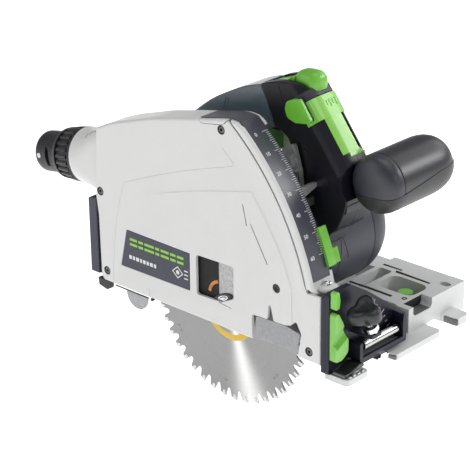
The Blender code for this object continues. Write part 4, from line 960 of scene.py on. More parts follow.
def make_dust_port():
    wall_out = oblong_points(-141.4, 12.6, 27.0, 115.5, 0.5, 0.055)
    wall_in = oblong_points(-141.4, 9.4, 21.0, 114.0, 0.5, 0.055)
    end_out, end_in = ring_points(MOUTH, 24.6), ring_points(MOUTH, 20.6)
    rows = []
    steps = 16
    for k in range(steps + 1):
        share = k / steps
        swell = share * share * (3 - 2 * share)
        rows.append([Vector((w.x + (e.x - w.x) * share, w.y + (e.y - w.y) * swell, w.z + (e.z - w.z) * swell)) for w, e in zip(wall_out, end_out)])
    rows.append([MOUTH + (p - MOUTH) * (24.0 / 24.6) + OUT * 0.55 for p in end_out])
    rows.append([MOUTH + (p - MOUTH) * (23.0 / 24.6) + OUT * 0.6 for p in end_out])
    inner = [[MOUTH + (p - MOUTH) * (21.0 / 20.6) + OUT * 0.6 for p in end_in]]
    for k in range(5):
        share = k / 4
        inner.append([e.lerp(w, share) for w, e in zip(wall_in, end_in)])
    spout = loft_mesh("spout", rows + inner, WHITE, close_rows=True)
    spout.data.transform(Matrix.Translation((0, 0, 0)))
    # short vents over the top
    vents = []
    for k in range(7):
        x = -158.0 + 3.9 * k
        y = -6.0 + 1.55 * k
        vents.append(box("vent", (x - 0.75, y - 2.4, 128), (x + 0.75, y + 2.4, 150)))
    cut(spout, *vents)
    shade(spout, 38)
    flat_normals(spout)
    stand(spout, "cradle", "dust_spout")

    # collar: a cone with long grip ridges
    count, ridges = 24 * 12, 24
    length0, length1 = 1.4, 24.6

    def collar_ring(h, r, relief):
        out = []
        for i in range(count):
            t = 2 * math.pi * i / count
            phase = (i % 12) / 12
            wave = 1.0 if 0.18 <= phase < 0.62 else 0.0
            if 0.08 <= phase < 0.18:
                wave = 0.6
            if 0.62 <= phase < 0.72:
                wave = 0.6
            out.append(MOUTH + OUT * h + SIDE * ((r + relief * wave) * math.cos(t)) + UP * ((r + relief * wave) * math.sin(t)))
        return out

    rows = [collar_ring(0.6, 24.0, 0), collar_ring(1.6, 24.4, 0), collar_ring(3.2, 24.4, 0), collar_ring(3.6, 22.6, 0), collar_ring(5.0, 22.4, 0), collar_ring(5.6, 22.7, 1.5),
            collar_ring(12, 22.2, 1.5), collar_ring(19.6, 21.2, 1.5), collar_ring(20.6, 20.8, 0.6), collar_ring(21.4, 20.4, 0), collar_ring(21.8, 22.6, 0), collar_ring(24.8, 22.2, 0),
            collar_ring(26.0, 21.4, 0), collar_ring(26.0, 18.6, 0), collar_ring(6.0, 18.6, 0), collar_ring(5.0, 20.9, 0), collar_ring(0.6, 20.9, 0)]
    collar = loft_mesh("collar", rows, BLACK, close_rows=True)
    shade(collar, 30)
    stand(collar, "dust_port", "dust_port_collar")

    rings = [(18.2, 6.4), (18.2, 46.0), (18.0, 50.9), (17.3, 52.3), (16.4, 52.7), (15.8, 52.4), (15.6, 50.5), (15.8, 6.4)]
    sleeve = lathe("sleeve", rings[::-1], MOUTH, OUT, BLACK, steps=96, closed=True)
    cutter = box("slot_cut", (-2.3, -5, -8.4), (2.3, 10, 8.4))
    centre = MOUTH + OUT * 36.6
    turn = Matrix.Rotation(math.radians(-10), 4, "Y")
    cutter.data.transform(Matrix.Translation([c * MM for c in (centre.x, -17.5, centre.z)]) @ turn)
    cut(sleeve, cutter)
    join(sleeve, *[box("lug", (-196.5, 1, 121.2), (-189.0, 6.2, 123.6))])
    shade(sleeve, 35)
    flat_normals(sleeve)
    stand(sleeve, "dust_port", "dust_port_sleeve")
    # a black tube behind the sleeve's slot that paints the shade inside it
    inner = rod("slot_floor", MOUTH + OUT * 26, OUT, 22, 15.5, PAINTED_SHADE, sides=64)
    bore = rod("slot_floor_bore", MOUTH + OUT * 24, OUT, 30, 14.7, sides=64)
    cut(inner, bore)
    stand(shade(inner), "dust_port", slot="dust_port_sleeve")
    clip = rod("sleeve_clip", MOUTH + OUT * 47.0 + SIDE * -17.6 + UP * 1.0, (0, -1, 0), 1.0, 2.2, PRINT_WHITE, sides=24)
    finish_edges(clip, 0.3, 2)
    stand(clip, "dust_port", slot="dust_port_sleeve")


make_dust_port()


# ================================================================ blade
def make_blade():
    outline = []
    for i in range(TEETH):
        a = -360.0 * i / TEETH
        for radius, turn in ((BLADE_R - 0.1, -0.6), (BLADE_R - 1.9, -3.7), (BLADE_R - 6.2, -4.3), (BLADE_R - 8.6, -5.0), (BLADE_R - 9.2, -5.9), (BLADE_R - 8.8, -6.9),
                             (BLADE_R - 6.9, -7.7), (BLADE_R - 3.4, -8.2)):
            t = math.radians(a + turn)
            outline.append((B[0] + radius * math.cos(t), B[1] + radius * math.sin(t)))
    disc = prism("blade_disc", outline, "XZ", -0.8, 0.8, BLADE_STEEL, holes=[circle(B, 10.0, 64)[::-1]])
    finish_edges(disc, 0.0, 2, 40)
    stand(disc, "blade_spindle", "saw_blade")
    tips = []
    for i in range(TEETH):
        a = -360.0 * i / TEETH
        corner = []
        for radius, turn in ((BLADE_R, 0.0), (BLADE_R - 1.3, -2.2), (BLADE_R - 5.2, -1.7), (BLADE_R - 5.4, -0.25)):
            t = math.radians(a + turn)
            corner.append((B[0] + radius * math.cos(t), B[1] + radius * math.sin(t)))
        tips.append(prism("tip", corner, "XZ", -1.15, 1.15))
    carbide = merge("blade_tips", tips, surface("carbide", (0.80, 0.80, 0.81), 0.28, 0.55, vary=0.08, grain=(2500, 0.1)))
    stand(carbide, "blade_spindle", slot="saw_blade")
    printed = prism("blade_print", band(B, 23.8, 29.0, 198, 342, 60), "XZ", -0.86, -0.78, PRINT_YELLOW)
    stand(printed, "blade_spindle", slot="saw_blade")
    etched = []
    for degrees, count in ((-150, 2), (-95, 1), (-45, 2), (30, 2), (120, 1)):
        for k in range(count):
            t = degrees + k * 4.0
            etched.append(prism("etch", band(B, 66.5, 70.5, t, t + 0.5, 2), "XZ", -0.84, -0.78))
            etched.append(prism("etch", band(B, 68.2, 68.9, t, t + 2.2, 3), "XZ", -0.84, -0.78))
    stand(merge("blade_etching", etched, DARK_STEEL), "blade_spindle", slot="saw_blade")


make_blade()


# ================================================================ handle
HALF = 18.0
FRONT = Vector((58.0, 0.0, 211.5))
DOWN = Vector((34.5, 0.0, -44.9)).normalized()
ACROSS = Vector((-DOWN.z, 0.0, DOWN.x))
CORNER = 13.0
HANDLE_Y = 46.0


def pillar_matrix():
    return Matrix(((ACROSS.x, 0, DOWN.x, FRONT.x * MM), (ACROSS.y, 1, DOWN.y, HANDLE_Y * MM), (ACROSS.z, 0, DOWN.z, FRONT.z * MM), (0, 0, 0, 1)))


def pillar(name, outline, first, last, mat=None):
    """An outline of (out of the front, across the saw) points, drawn along the front pillar."""
    made = prism(name, outline, "XY", first, last, mat)
    made.data.transform(pillar_matrix())
    tidy(made.data)
    return made


def corner(side, grow, first, last, count=14):
    centre = (-CORNER, side * (HALF - CORNER))
    return [(centre[0] + (CORNER + grow) * math.cos(math.radians(first + (last - first) * i / (count - 1))),
             centre[1] + side * (CORNER + grow) * math.sin(math.radians(first + (last - first) * i / (count - 1)))) for i in range(count)]


def make_handle():
    nose_line = spline([(-60, 173.9), (-50.5, 181.2), (-38, 189.2), (-15.5, 200.8), (-5.0, 205.0), (9.6, 209.6)], 5)
    nose_outline = rounded([(-71, 163.5), (-65, 169.8)], 0) + nose_line + [(24.2, 176.2), (14, 173.6)] + spline(
        [(2, 172.4), (-10, 171.6), (-22.4, 169.6), (-34, 165.4), (-41, 159.4), (-44, 150), (-41.6, 143), (-37.2, 137.2)], 4) + [(-58, 118.6), (-65, 134), (-69, 150)]
    nose = prism("nose_shell", nose_outline, "XZ", 29.0, 63.0, FAIRING)
    round_rim(nose, 29.0, 9.0, 10)
    round_rim(nose, 63.0, 9.0, 10)
    cut(nose, prism("pocket", [(0.5, 160), (25.6, 162), (20.4, 181), (-4, 181)], "XZ", 38.2, 54),
        prism("pocket_b", [(6.0, 200.6), (30, 205.0), (30, 232), (4, 232)], "XZ", 35.6, 56.4),
        rod("inlet", (-76, HANDLE_Y, 147), (1, 0, 0.25), 22, 9.4),
        *[prism("grip_rib", [(x, 172), (x + 1.0, 172), (x + 6.4, 190), (x + 5.4, 190)], "XZ", 28.0, 29.5) for x in (-34, -31)])
    finish_edges(nose, 0.25, 2, 42)
    stand(nose, "plunge_unit", "handle_nose")

    outline = (spline([(-57.4, 117.9), (-47, 128), (-36.6, 136.2)], 4) + spline([(-30, 134.6), (-22, 129), (-14, 126.8), (2, 128.4), (20, 131), (44, 131.2)], 5)
               + rounded([(44.2, 131.2), (52.4, 132.0), (50.2, 139.6)], [0, 4, 0], 5)[1:-1]
               + spline([(50.2, 139.6), (45.8, 151), (41.6, 162.5), (38.4, 170.4), (32.6, 174.8), (24.8, 176.5)], 5) + [(10.2, 210.3)]
               + spline([(20, 213.8), (30.5, 216.3), (44, 216.8), (52, 215.0), (58, 211.5)], 5) + [(92.5, 166.6)]
               + spline([(97.0, 159), (99.8, 150), (100, 140), (97, 124), (88.5, 106)], 4) + arc(MOTOR, 48.7, 22, 148, 60))
    for name, node_name, low, high, rim, side in (("handle_shell_right", "handle_half_right", 28.0, 45.86, 28.0, -1), ("handle_shell_left", "handle_half_left", 46.14, 64.0, 64.0, 1)):
        shell = prism(name, outline, "XZ", low, high, SHELL)
        round_rim(shell, rim, 4.6, 7)
        wedge = corner(side, 0, 0, 90) + [(-CORNER, side * (HALF + 7)), (7, side * (HALF + 7)), (7, side * (HALF - CORNER))]
        face = rim + (0.01 if side < 0 else -0.01)
        cut(shell,
            prism("hollow", [(56, 139), (50.4, 153), (46.4, 166), (43, 178), (28, 184), (20, 198), (48, 200), (54.0, 198.8), (64, 188), (75, 174.4), (84, 162), (88, 150), (84, 134), (60, 134)], "XZ", 32.0, 60.0),
            rod("grip_seat", (GRIP[0], 0, GRIP[1]), (0, 1, 0), 100, GRIP_R + 0.5, sides=96),
            prism("button_pocket", [(6.0, 200.6), (30, 205.0), (36, 202.4), (63.5, 206.6), (64, 232), (4, 232)], "XZ", 35.6, 56.4),
            rod("dial_pocket", (-14, 60.4, 115), (0, 1, 0), 10, 9.6),
            pillar("front_corner", wedge, -20, 68),
            # the collar's seam, the seam under the band, and the strap-shaped groove beside the tail
            wire("collar_seam", [(x, face, z) for x, z in spline([(28.4, 214.4), (32.0, 205.8), (35.2, 199.6), (38.4, 196.0), (39.6, 190.6), (43.6, 187.8)], 6)], 0.38),
            wire("lower_seam", [(x, face, z) for x, z in spline([(52, 168), (62, 164), (74, 154), (84, 142), (90, 134)], 6)], 0.42),
            pillar("beside_tail", [(-6, 6.4), (6, 6.4), (6, 9.6), (-6, 9.6)], 20.6, 52.0) if side > 0 else pillar("vent_hidden", [(2, -2), (3, -2), (3, 2)], 80, 82))
        finish_edges(shell, 0.25, 2, 42)
        stand(shell, "plunge_unit", node_name)

    # the darker collar round the pillar's top, under the cap
    ring_out = [(-23.5, -HALF - 0.25)] + corner(-1, 0.3, 0, 90)[::-1] + corner(1, 0.3, 0, 90) + [(-23.5, HALF + 0.25)]
    ring_in = [(-23.5, -HALF + 1.4)] + corner(-1, -1.2, 0, 90)[::-1] + corner(1, -1.2, 0, 90) + [(-23.5, HALF - 1.4)]
    collar = pillar("cap_collar", ring_out + ring_in[::-1], -3.6, 3.6, COLLAR)
    finish_edges(collar, 0.3, 3, 42)
    stand(collar, "plunge_unit", slot="handle_half_right")

    # the green band and its tail, one moulding; front and tail in a paler green that paints the light falling on them
    sweep = 49
    outer = corner(-1, 1.3, 0, sweep, 18)[::-1] + corner(1, 1.3, 0, sweep, 18)
    inner = corner(-1, 0.35, 0, sweep, 18)[::-1] + corner(1, 0.35, 0, sweep, 18)
    band_piece = pillar("front_band", outer + inner[::-1], 4.2, 22.2, GREEN_PAINTED_LIT)
    tail_out = corner(-1, 1.2, 0, 30, 10)[::-1] + [(1.2, 5.6)]
    tail_in = corner(-1, 0.4, 0, 30, 10)[::-1] + [(0.4, 5.6)]
    join(band_piece, pillar("tail", tail_out + tail_in[::-1], 21.0, 54.0))
    foot_rows = []
    for k in range(7):
        s = 52.0 + k * 0.9
        reach = 5.6 + 9.5 * (k / 6) ** 1.8
        thick = 1.2 - 0.08 * k
        row_out = [(thick, -6.0), (thick, 0.0), (thick, 4.0), (thick - max(0, reach - 5.0) ** 2 * 0.035, reach)]
        row_in = [(p[0] - 1.6, p[1]) for p in row_out][::-1]
        foot_rows.append([tuple(FRONT + ACROSS * u + DOWN * s + Vector((0, HANDLE_Y + v, 0))) for u, v in row_out + row_in])
    foot = loft_mesh("tail_foot", foot_rows, GREEN_PAINTED_LIT)
    finish_edges(band_piece, 0.35, 3, 40)
    stand(band_piece, "plunge_unit", "handle_strip")
    finish_edges(foot, 0.2, 2, 40)
    stand(foot, "plunge_unit", slot="handle_strip")
    # raised generic marks on the band: a row of bars
    for k in range(4):
        mark = pillar("band_mark", [(1.15, -3.6 + 3.3 * k), (1.75, -3.6 + 3.3 * k), (1.75, -2.4 + 3.3 * k), (1.15, -2.4 + 3.3 * k)], 9.0, 15.4 if k % 2 else 13.4, GREEN)
        finish_edges(mark, 0.15, 2, 40)
        stand(mark, "plunge_unit", slot="handle_strip")

    # the green flank between the lever and the band
    flank = prism("band_flank", [(55.6, 208.4), (57.6, 210.6), (70.2, 194.2), (68.8, 191.4)], "XZ", 26.9, 29.4, GREEN)
    flank_rows = []
    for k in range(13):
        degrees = 49 + 41 * k / 12
        flank_rows.append(degrees)
    bpy.data.objects.remove(flank, do_unlink=True)
    arc_out = corner(-1, 1.3, 48, 92, 14)
    arc_in = corner(-1, 0.35, 48, 92, 14)
    flank = pillar("band_flank", arc_out + arc_in[::-1], 4.2, 22.2, GREEN)
    finish_edges(flank, 0.2, 2, 40)
    stand(flank, "plunge_unit", slot="handle_strip")

    lever_line = rounded([(39.0, 197.2), (40.6, 203.6), (47.6, 206.8), (54.2, 208.0), (57.4, 204.0), (66.0, 192.6), (60.5, 189.3), (50.2, 187.6), (41.4, 190.0)], [5, 5, 6, 1.2, 0, 1.2, 6, 6, 6], 6)
    lever = prism("cut_selector", lever_line, "XZ", 23.0, 26.3, GREEN)
    round_rim(lever, 23.0, 2.2, 7)
    finish_edges(lever, 0.0, 2, 50)
    boss = rod("selector_boss", (47.6, 25.6, 197.4), (0, 1, 0), 2.1, 4.6, GREEN, sides=40)
    shade(boss, 40)
    stand(lever, "side_lever_body", "side_lever")
    stand(boss, "side_lever_body", slot="side_lever")
    web = prism("selector_backing", lever_line, "XZ", 26.5, 28.1, SHELL)
    stand(web, "plunge_unit", slot="handle_half_right")

    # the release button: a tongue and a rounded cap
    tongue = prism("release_tongue", [(7.7, 207.0)] + spline([(8.2, 207.9), (20, 212.1), (29, 214.9), (35, 219.5)], 5) + [(37.5, 219.5), (37.5, 209.2), (36.2, 208.9), (29.6, 211.6), (8, 206.5)], "XZ", 36.2, 55.8, GREEN)
    round_rim(tongue, 36.2, 1.6, 5)
    round_rim(tongue, 55.8, 1.6, 5)
    cap_rows = []
    for z, grow in ((211.2, 0.0), (214.0, 0.6), (217.5, 0.7), (220.5, 0.1), (222.8, -1.2), (224.3, -3.0), (225.2, -5.2), (225.6, -7.6)):
        row = []
        for i in range(48):
            t = 2 * math.pi * i / 48
            c, s = math.cos(t), math.sin(t)
            rx, ry = 12.0 + grow, 9.1 + grow
            row.append((47.4 + rx * math.copysign(abs(c) ** 0.72, c), 46 + ry * math.copysign(abs(s) ** 0.72, s), z + 0.5 * c - (2.2 * max(0, -c) if z < 214 else 0)))
        cap_rows.append(row)
    cap = loft_mesh("release_cap", cap_rows, GREEN)
    join(cap, tongue)
    finish_edges(cap, 0.0, 2, 46)
    stand(cap, "release_body", "plunge_release_button")

    blade = prism("finger_trigger", rounded([(1.9, 170.6), (3.6, 161.0), (6.4, 155.4), (11.4, 152.8), (18, 153.2), (24.0, 156.0), (23.8, 170.6)], [0.5, 4, 4, 3, 3, 2, 0.5], 5), "XZ", 39.0, 53.2, DARK_GREEN)
    round_rim(blade, 39.0, 2.4, 6)
    round_rim(blade, 53.2, 2.4, 6)
    join(blade, prism("stem", [(6, 166), (20, 166), (17.2, 176.2), (5, 175.6)], "XZ", 41, 51))
    finish_edges(blade, 0.0, 2, 46)
    stand(blade, "trigger_body", "trigger")


def make_grip():
    # the grip: rubber skin over a harder under-shell, with a pad let into its near end
    profile = [(0.0, 46.4), (20.0, 46.4), (23.4, 46.6), (24.0, 47.6), (24.0, 56), (24.0, 92), (23.9, 97), (23.5, 101.5), (22.7, 105.6), (21.4, 109.4), (19.5, 112.8),
               (16.8, 115.7), (13.2, 118.0), (8.6, 119.6), (4.0, 120.15), (0.0, 120.2)]
    grip = lathe("grip_skin", profile[::-1], (GRIP[0], 0, GRIP[1]), (0, 1, 0), GRIP_SOFT, steps=96)
    finish_edges(grip, 0.0, 2, 50)
    stand(grip, "plunge_unit", "front_grip")
    pad_profile = [(0, 33.4), (6, 33.5), (12, 33.9), (16.4, 34.8), (19.6, 36.3), (21.8, 38.2), (23.0, 40.2), (23.7, 42.6), (24.0, 45.0), (23.6, 45.9), (0, 45.9)]
    pad = lathe("grip_pad", pad_profile[::-1], (GRIP[0], 0, GRIP[1]), (0, 1, 0), PAD_SOFT, steps=96)
    finish_edges(pad, 0.0, 2, 50)
    stand(pad, "plunge_unit", "front_grip_pad")
    # a black ring that paints the shade in the seam between pad and grip
    line = rod("pad_seam", (GRIP[0], 45.7, GRIP[1]), (0, 1, 0), 0.9, 23.3, PAINTED_SHADE, sides=96)
    stand(line, "plunge_unit", slot="front_grip_pad")
    # the harder shell under the rubber skins, its edge running along the lower front
    under_profile = [(0.0, 33.2), (13, 33.5), (18.4, 35.0), (21.6, 37.2), (23.4, 40.2), (24.35, 44.6), (24.5, 50), (24.5, 92), (24.35, 97), (23.9, 101.8), (23.1, 106), (21.8, 109.8), (19.9, 113.2),
                     (17.2, 116.2), (13.5, 118.6), (8.8, 120.1), (0.0, 120.4)]
    under = lathe("grip_under_shell", under_profile[::-1], (GRIP[0], 0, GRIP[1]), (0, 1, 0), BLACK, steps=96)
    keep = loft_mesh("keep", [[(GRIP[0] - 40, 20, GRIP[1] - 16.0), (GRIP[0] + 40, 20, GRIP[1] - 13.0), (GRIP[0] + 40, 20, GRIP[1] - 60), (GRIP[0] - 40, 20, GRIP[1] - 60)],
                              [(GRIP[0] - 40, 46, GRIP[1] - 12.5), (GRIP[0] + 40, 46, GRIP[1] - 1.5), (GRIP[0] + 40, 46, GRIP[1] - 60), (GRIP[0] - 40, 46, GRIP[1] - 60)],
                              [(GRIP[0] - 40, 90, GRIP[1] - 5.0), (GRIP[0] + 40, 90, GRIP[1] + 5.0), (GRIP[0] + 40, 90, GRIP[1] - 60), (GRIP[0] - 40, 90, GRIP[1] - 60)],
                              [(GRIP[0] - 40, 130, GRIP[1] + 3), (GRIP[0] + 40, 130, GRIP[1] + 8.0), (GRIP[0] + 40, 130, GRIP[1] - 60), (GRIP[0] - 40, 130, GRIP[1] - 60)]])
    boolean(under, "INTERSECT", keep)
    finish_edges(under, 0.25, 2, 50)
    stand(under, "plunge_unit", slot="front_grip")


def make_gear_bits():
    """The casting's upright beside the scale, and the stop plate that shows between scale and handle."""
    tower = prism("case_upright", rounded([(30, 100), (46, 98), (58, 132), (56, 150), (49.4, 171), (37.6, 165), (36, 140)], [0, 0, 3, 3, 2, 2, 3], 4), "XZ", 17.5, 26.0, ALU)
    cut(tower, prism("step_a", [(52.6, 160), (60, 160), (60, 152.6), (50.4, 150)], "XZ", 10, 21.5), box("step_b", (40, 10, 140.5), (54, 20.4, 147)),
        prism("stop_room", band(P, 212.6, 242, 40.6, 54, 12), "XZ", 10, 22.0))
    finish_edges(tower, 0.5, 2, 38)
    stand(tower, "plunge_unit", slot="gear_case")
    # a dark plate that paints the shade on the gear case beside the upright
    dark = prism("case_shade", rounded([(44, 128), (60, 130), (58.4, 151), (45, 149)], 1.5, 3), "XZ", 16.2, 18.4, DARK_STEEL)
    finish_edges(dark, 0.3, 2, 40)
    stand(dark, "plunge_unit", slot="gear_case")
    for k, (a, b) in enumerate((((54.4, 146.8), (58.8, 140.4)), ((54.2, 139.0), (58.6, 139.6)))):
        sliver = prism("case_web", [a, b, (b[0] - 0.6, b[1] - 4.2), (a[0] - 2.6, a[1] - 3.4)], "XZ", 13.8, 18.2, ALU)
        finish_edges(sliver, 0.2, 2, 40)
        stand(sliver, "plunge_unit", slot="gear_case")
    rows = []
    for k in range(9):
        share = k / 8
        y = 7.6 + 22.0 * share
        z = 136.4 + 3.9 * share + 0.5 * math.sin(math.pi * share)
        half = 4.2 * (1 - share) ** 0.55 + 0.9
        rows.append([(67.0 - 1.2, y, z - half), (67.0 + 1.6, y, z - half), (67.0 + 1.6, y, z + half), (67.0 - 1.2, y, z + half)])
    plate = loft_mesh("stop_plate", rows, ALU)
    finish_edges(plate, 0.4, 2, 40)
    stand(plate, "plunge_unit", slot="gear_case")
    under = box("stop_plate_foot", (66.6, 13.0, 124.6), (69.4, 24.6, 131.6), DARK_STEEL)
    finish_edges(under, 0.6, 2, 40)
    stand(under, "plunge_unit", slot="gear_case")


make_handle()
make_grip()
make_gear_bits()


# ================================================================ base, clamps and tray
def make_base():
    # dark sheets that paint the shade on the floors of the casting's pockets and notch, and black strips that paint the
    # shadow in the slots along the deck
    liner = prism("pocket_liner", rounded([(66.5, 107), (103.1, 107), (103.1, 132.5), (66.5, 132.5)], 7.5), "XY", 5.9, 6.5, POCKET_SHADE_AND_RUBBER)
    cut(liner, rod("hole", (88, 120, 0), (0, 0, 1), 20, 7.6))
    finish_edges(liner, 0.1, 2)
    stand(liner, "base", slot="base_plate")
    notch = prism("notch_liner", rounded([(92.4, 17.8), (116.6, 17.8), (116.6, 25.2), (92.4, 25.2)], [3.6, 3.6, 0, 0]), "YZ", 106.5, 107.1, PAINTED_SHADE)
    finish_edges(notch, 0.1, 2)
    stand(notch, "base", slot="base_plate")
    sole = prism("notch_floor", [(107.2, 92.6), (117.6, 92.6), (117.6, 116.4), (107.2, 116.4)], "XY", 17.55, 17.9, POCKET_SHADE_AND_RUBBER)
    finish_edges(sole, 0.1, 2)
    stand(sole, "base", slot="base_plate")
    for name, outline in (("deck_slot_a", [(46, 96.2), (91, 96.2), (91, 99.0), (66, 99.4), (46, 98.4)]), ("deck_slot_b", [(64, 137.0), (100, 137.0), (99, 139.4), (62, 140.4)]),
                          ("deck_slot_c", [(46, 142), (66, 142.8), (66, 144.6), (46, 144.6)])):
        piece = prism(name, rounded(outline, 0.6, 3), "XY", 25.55, 25.98, PAINTED_SHADE)
        finish_edges(piece, 0.1, 2)
        stand(piece, "base", slot="base_plate")
    # a dark ring that paints the shade in the deck's small hole
    hole = lathe("deck_eye", [(1.3, 0.25), (1.3, 0.0), (2.4, 0.0), (2.1, 0.5), (1.5, 0.5)], (101.7, 101.0, 25.7), (0, 0, 1), PAINTED_SHADE, steps=32, closed=True)
    shade(hole, 40)
    stand(hole, "base", slot="base_plate")
    # dark rubber end stops of the feet
    for name, box_at in (("foot_stop_b", ((127.4, 47.2, 0.6), (135.2, 49.8, 4.4))), ("foot_stop_c", ((121.0, 129.2, 0.6), (135.2, 131.4, 6.2)))):
        piece = box(name, *box_at, POCKET_SHADE_AND_RUBBER)
        finish_edges(piece, 0.8, 3, 40)
        stand(piece, "base", slot="base_plate")
    # the bright clip under the tray, and the bright plate below the rod
    clip = prism("tray_clip", rounded([(29.5, 4.4), (45, 4.4), (45, 7.4), (41, 7.4), (41, 9.4), (34, 9.4), (34, 7.4), (29.5, 7.4)], 0.5, 3), "YZ", 126.5, 131.5, CHROME)
    finish_edges(clip, 0.3, 2, 40)
    stand(clip, "base", slot="base_plate")
    ledge = box("tray_ledge", (126.5, 16.0, 12.1), (128.2, 63.0, 13.3), ALU)
    join(ledge, box("ledge_back", (118.0, 15.0, 12.1), (127.0, 63.6, 12.7)))
    finish_edges(ledge, 0.2, 2, 40)
    stand(ledge, "base", slot="clamp_bar")
    bar = lathe("clamp_rod", [(0, 0), (3.3, 0), (3.9, 0.6), (3.9, 2.6), (3.6, 2.8), (3.6, 3.3), (3.9, 3.5), (3.9, 40.1), (3.6, 40.3), (3.6, 40.8), (3.9, 41.0), (3.9, 43.0), (3.3, 43.6), (0, 43.6)][::-1],
                (123.0, 20.0, 20.2), (0, 1, 0), ROD_CHROME, steps=64)
    finish_edges(bar, 0.0, 2, 46)
    stand(bar, "base", "clamp_bar")
    # two bright posts that stand behind the knob
    for x, y, r, top in ((120.4, 22.0, 2.6, 46.0), (120.6, 30.4, 3.3, 38.0)):
        post = lathe("lug_post", [(0, 0), (r, 0), (r, top - 31.4), (r * 0.7, top - 30.6), (r * 0.7, top - 29.4), (0, top - 29.4)][::-1], (x, y, 29.4), (0, 0, 1), CHROME, steps=40)
        finish_edges(post, 0.2, 2, 46)
        stand(post, "base", slot="front_bevel_segment")
    # hook-shaped rail stop below the column
    hook = prism("rail_hook", rounded([(-11.0, 5.3), (-3.0, 5.3), (7.5, 8.6), (12.6, 8.0), (12.6, 10.6), (6.5, 11.6), (-4.0, 8.4), (-11.0, 8.2)], 1.0, 3), "YZ", 119.0, 131.5, DARK_STEEL)
    finish_edges(hook, 0.3, 2, 40)
    stand(hook, "base", slot="base_plate")
    for k, y in enumerate((-8.6, -3.4, 1.8, 7.0)):
        tooth = prism("rail_tooth", rounded([(131.6, y), (134.2, y), (134.2, y + 3.0), (131.6, y + 3.0)], 0.5, 2), "XY", 4.9, 6.6 + 0.4 * (k % 2), STEEL)
        finish_edges(tooth, 0.3, 2, 40)
        stand(tooth, "base", slot="base_plate")
    # the angle scale on the plate's slanted edge
    ticks = []
    for k in range(0, 46, 5):
        a = math.radians(20 + k)
        r0, r1 = 62.0, 66.4 if k % 15 == 0 else 64.4
        ticks.append(prism("tick", [(r0 * math.cos(a) - 0.2 * math.sin(a), r0 * math.sin(a) + 0.2 * math.cos(a)), (r1 * math.cos(a) - 0.2 * math.sin(a), r1 * math.sin(a) + 0.2 * math.cos(a)),
                                    (r1 * math.cos(a) + 0.2 * math.sin(a), r1 * math.sin(a) - 0.2 * math.cos(a)), (r0 * math.cos(a) + 0.2 * math.sin(a), r0 * math.sin(a) - 0.2 * math.cos(a))], "YZ", 117.15, 117.28))
    marks = merge("bevel_marks", [t for t in ticks if max(v.co.z for v in t.data.vertices) * 1000 < 58], PRINT_WHITE)
    for t in ticks:
        try:
            if t.name in bpy.data.objects and t is not marks:
                bpy.data.objects.remove(t, do_unlink=True)
        except ReferenceError:
            pass
    stand(marks, "base", slot="front_bevel_segment")


def make_knob():
    """Three rounded lobes over a short skirt, with a dished crown."""
    centre, axis = (133.5, 10.2, 56.6), Vector((0, -0.42, 0.907)).normalized()
    rows = []
    for height, scale, lift in ((-5.5, 0.86, 0), (-4.9, 0.93, 0), (-3.6, 0.97, 0), (0.0, 0.99, 0), (2.6, 1.0, 0.2), (4.2, 0.95, 0.6), (5.0, 0.86, 0.9), (5.4, 0.70, 0.8), (5.2, 0.45, 0.2), (4.6, 0.2, 0.0)):
        row = []
        for i in range(72):
            t = 2 * math.pi * i / 72
            lobes = 0.5 + 0.5 * math.cos(3 * t)
            radius = (9.4 + 5.4 * lobes ** 0.8) * scale
            row.append((radius * math.cos(t), radius * math.sin(t), height + lift * lobes))
        rows.append(row)
    knob = loft_mesh("clamp_knob", rows, KNOB_BLACK)
    join(knob, rod("stub", (0, 0, -9), (0, 0, 1), 6, 7.2, sides=48))
    knob.data.transform(Matrix.Translation([c * MM for c in centre]) @ along(axis) @ Matrix.Rotation(math.radians(0), 4, "Z"))
    finish_edges(knob, 0.0, 2, 50)
    stand(knob, "front_knob", "front_clamp_knob")


def make_cradle_bits():
    boss = lathe("bracket_boss", [(0, 0), (8.6, 0), (8.6, 1.4), (7.6, 2.9), (5.6, 3.7), (0, 3.8)][::-1], (101.2, 3.0, 69.2), (0, 0, 1), WHITE, steps=64)
    finish_edges(boss, 0.2, 2, 46)
    stand(boss, "cradle", slot="guard_housing")
    screw = lathe("bracket_screw", [(0, 0), (3.6, 0), (3.6, 1.6), (2.8, 2.4), (1.5, 2.5), (1.5, 1.0), (0, 1.0)][::-1], (101.2, 3.0, 73.0), (0, 0, 1), CHROME, steps=48)
    finish_edges(screw, 0.15, 2, 46)
    stand(screw, "cradle", slot="front_tilt_bracket")
    # black bands that paint the shade in the groove between cover and rim, and in the line between rim and scale
    groove = prism("cover_groove", band(P, 219.75, 221.3, 15.2, 52.6, 90), "XZ", -12.5, -11.25, PAINTED_SHADE)
    stand(groove, "cradle", slot="guard_cover")
    edge = prism("scale_edge_line", band(P, 225.5, 226.9, 15.8, 50.2, 90), "XZ", -11.55, -10.8, PAINTED_SHADE)
    stand(edge, "cradle", slot="depth_scale_strip")


make_base()
make_knob()
make_cradle_bits()


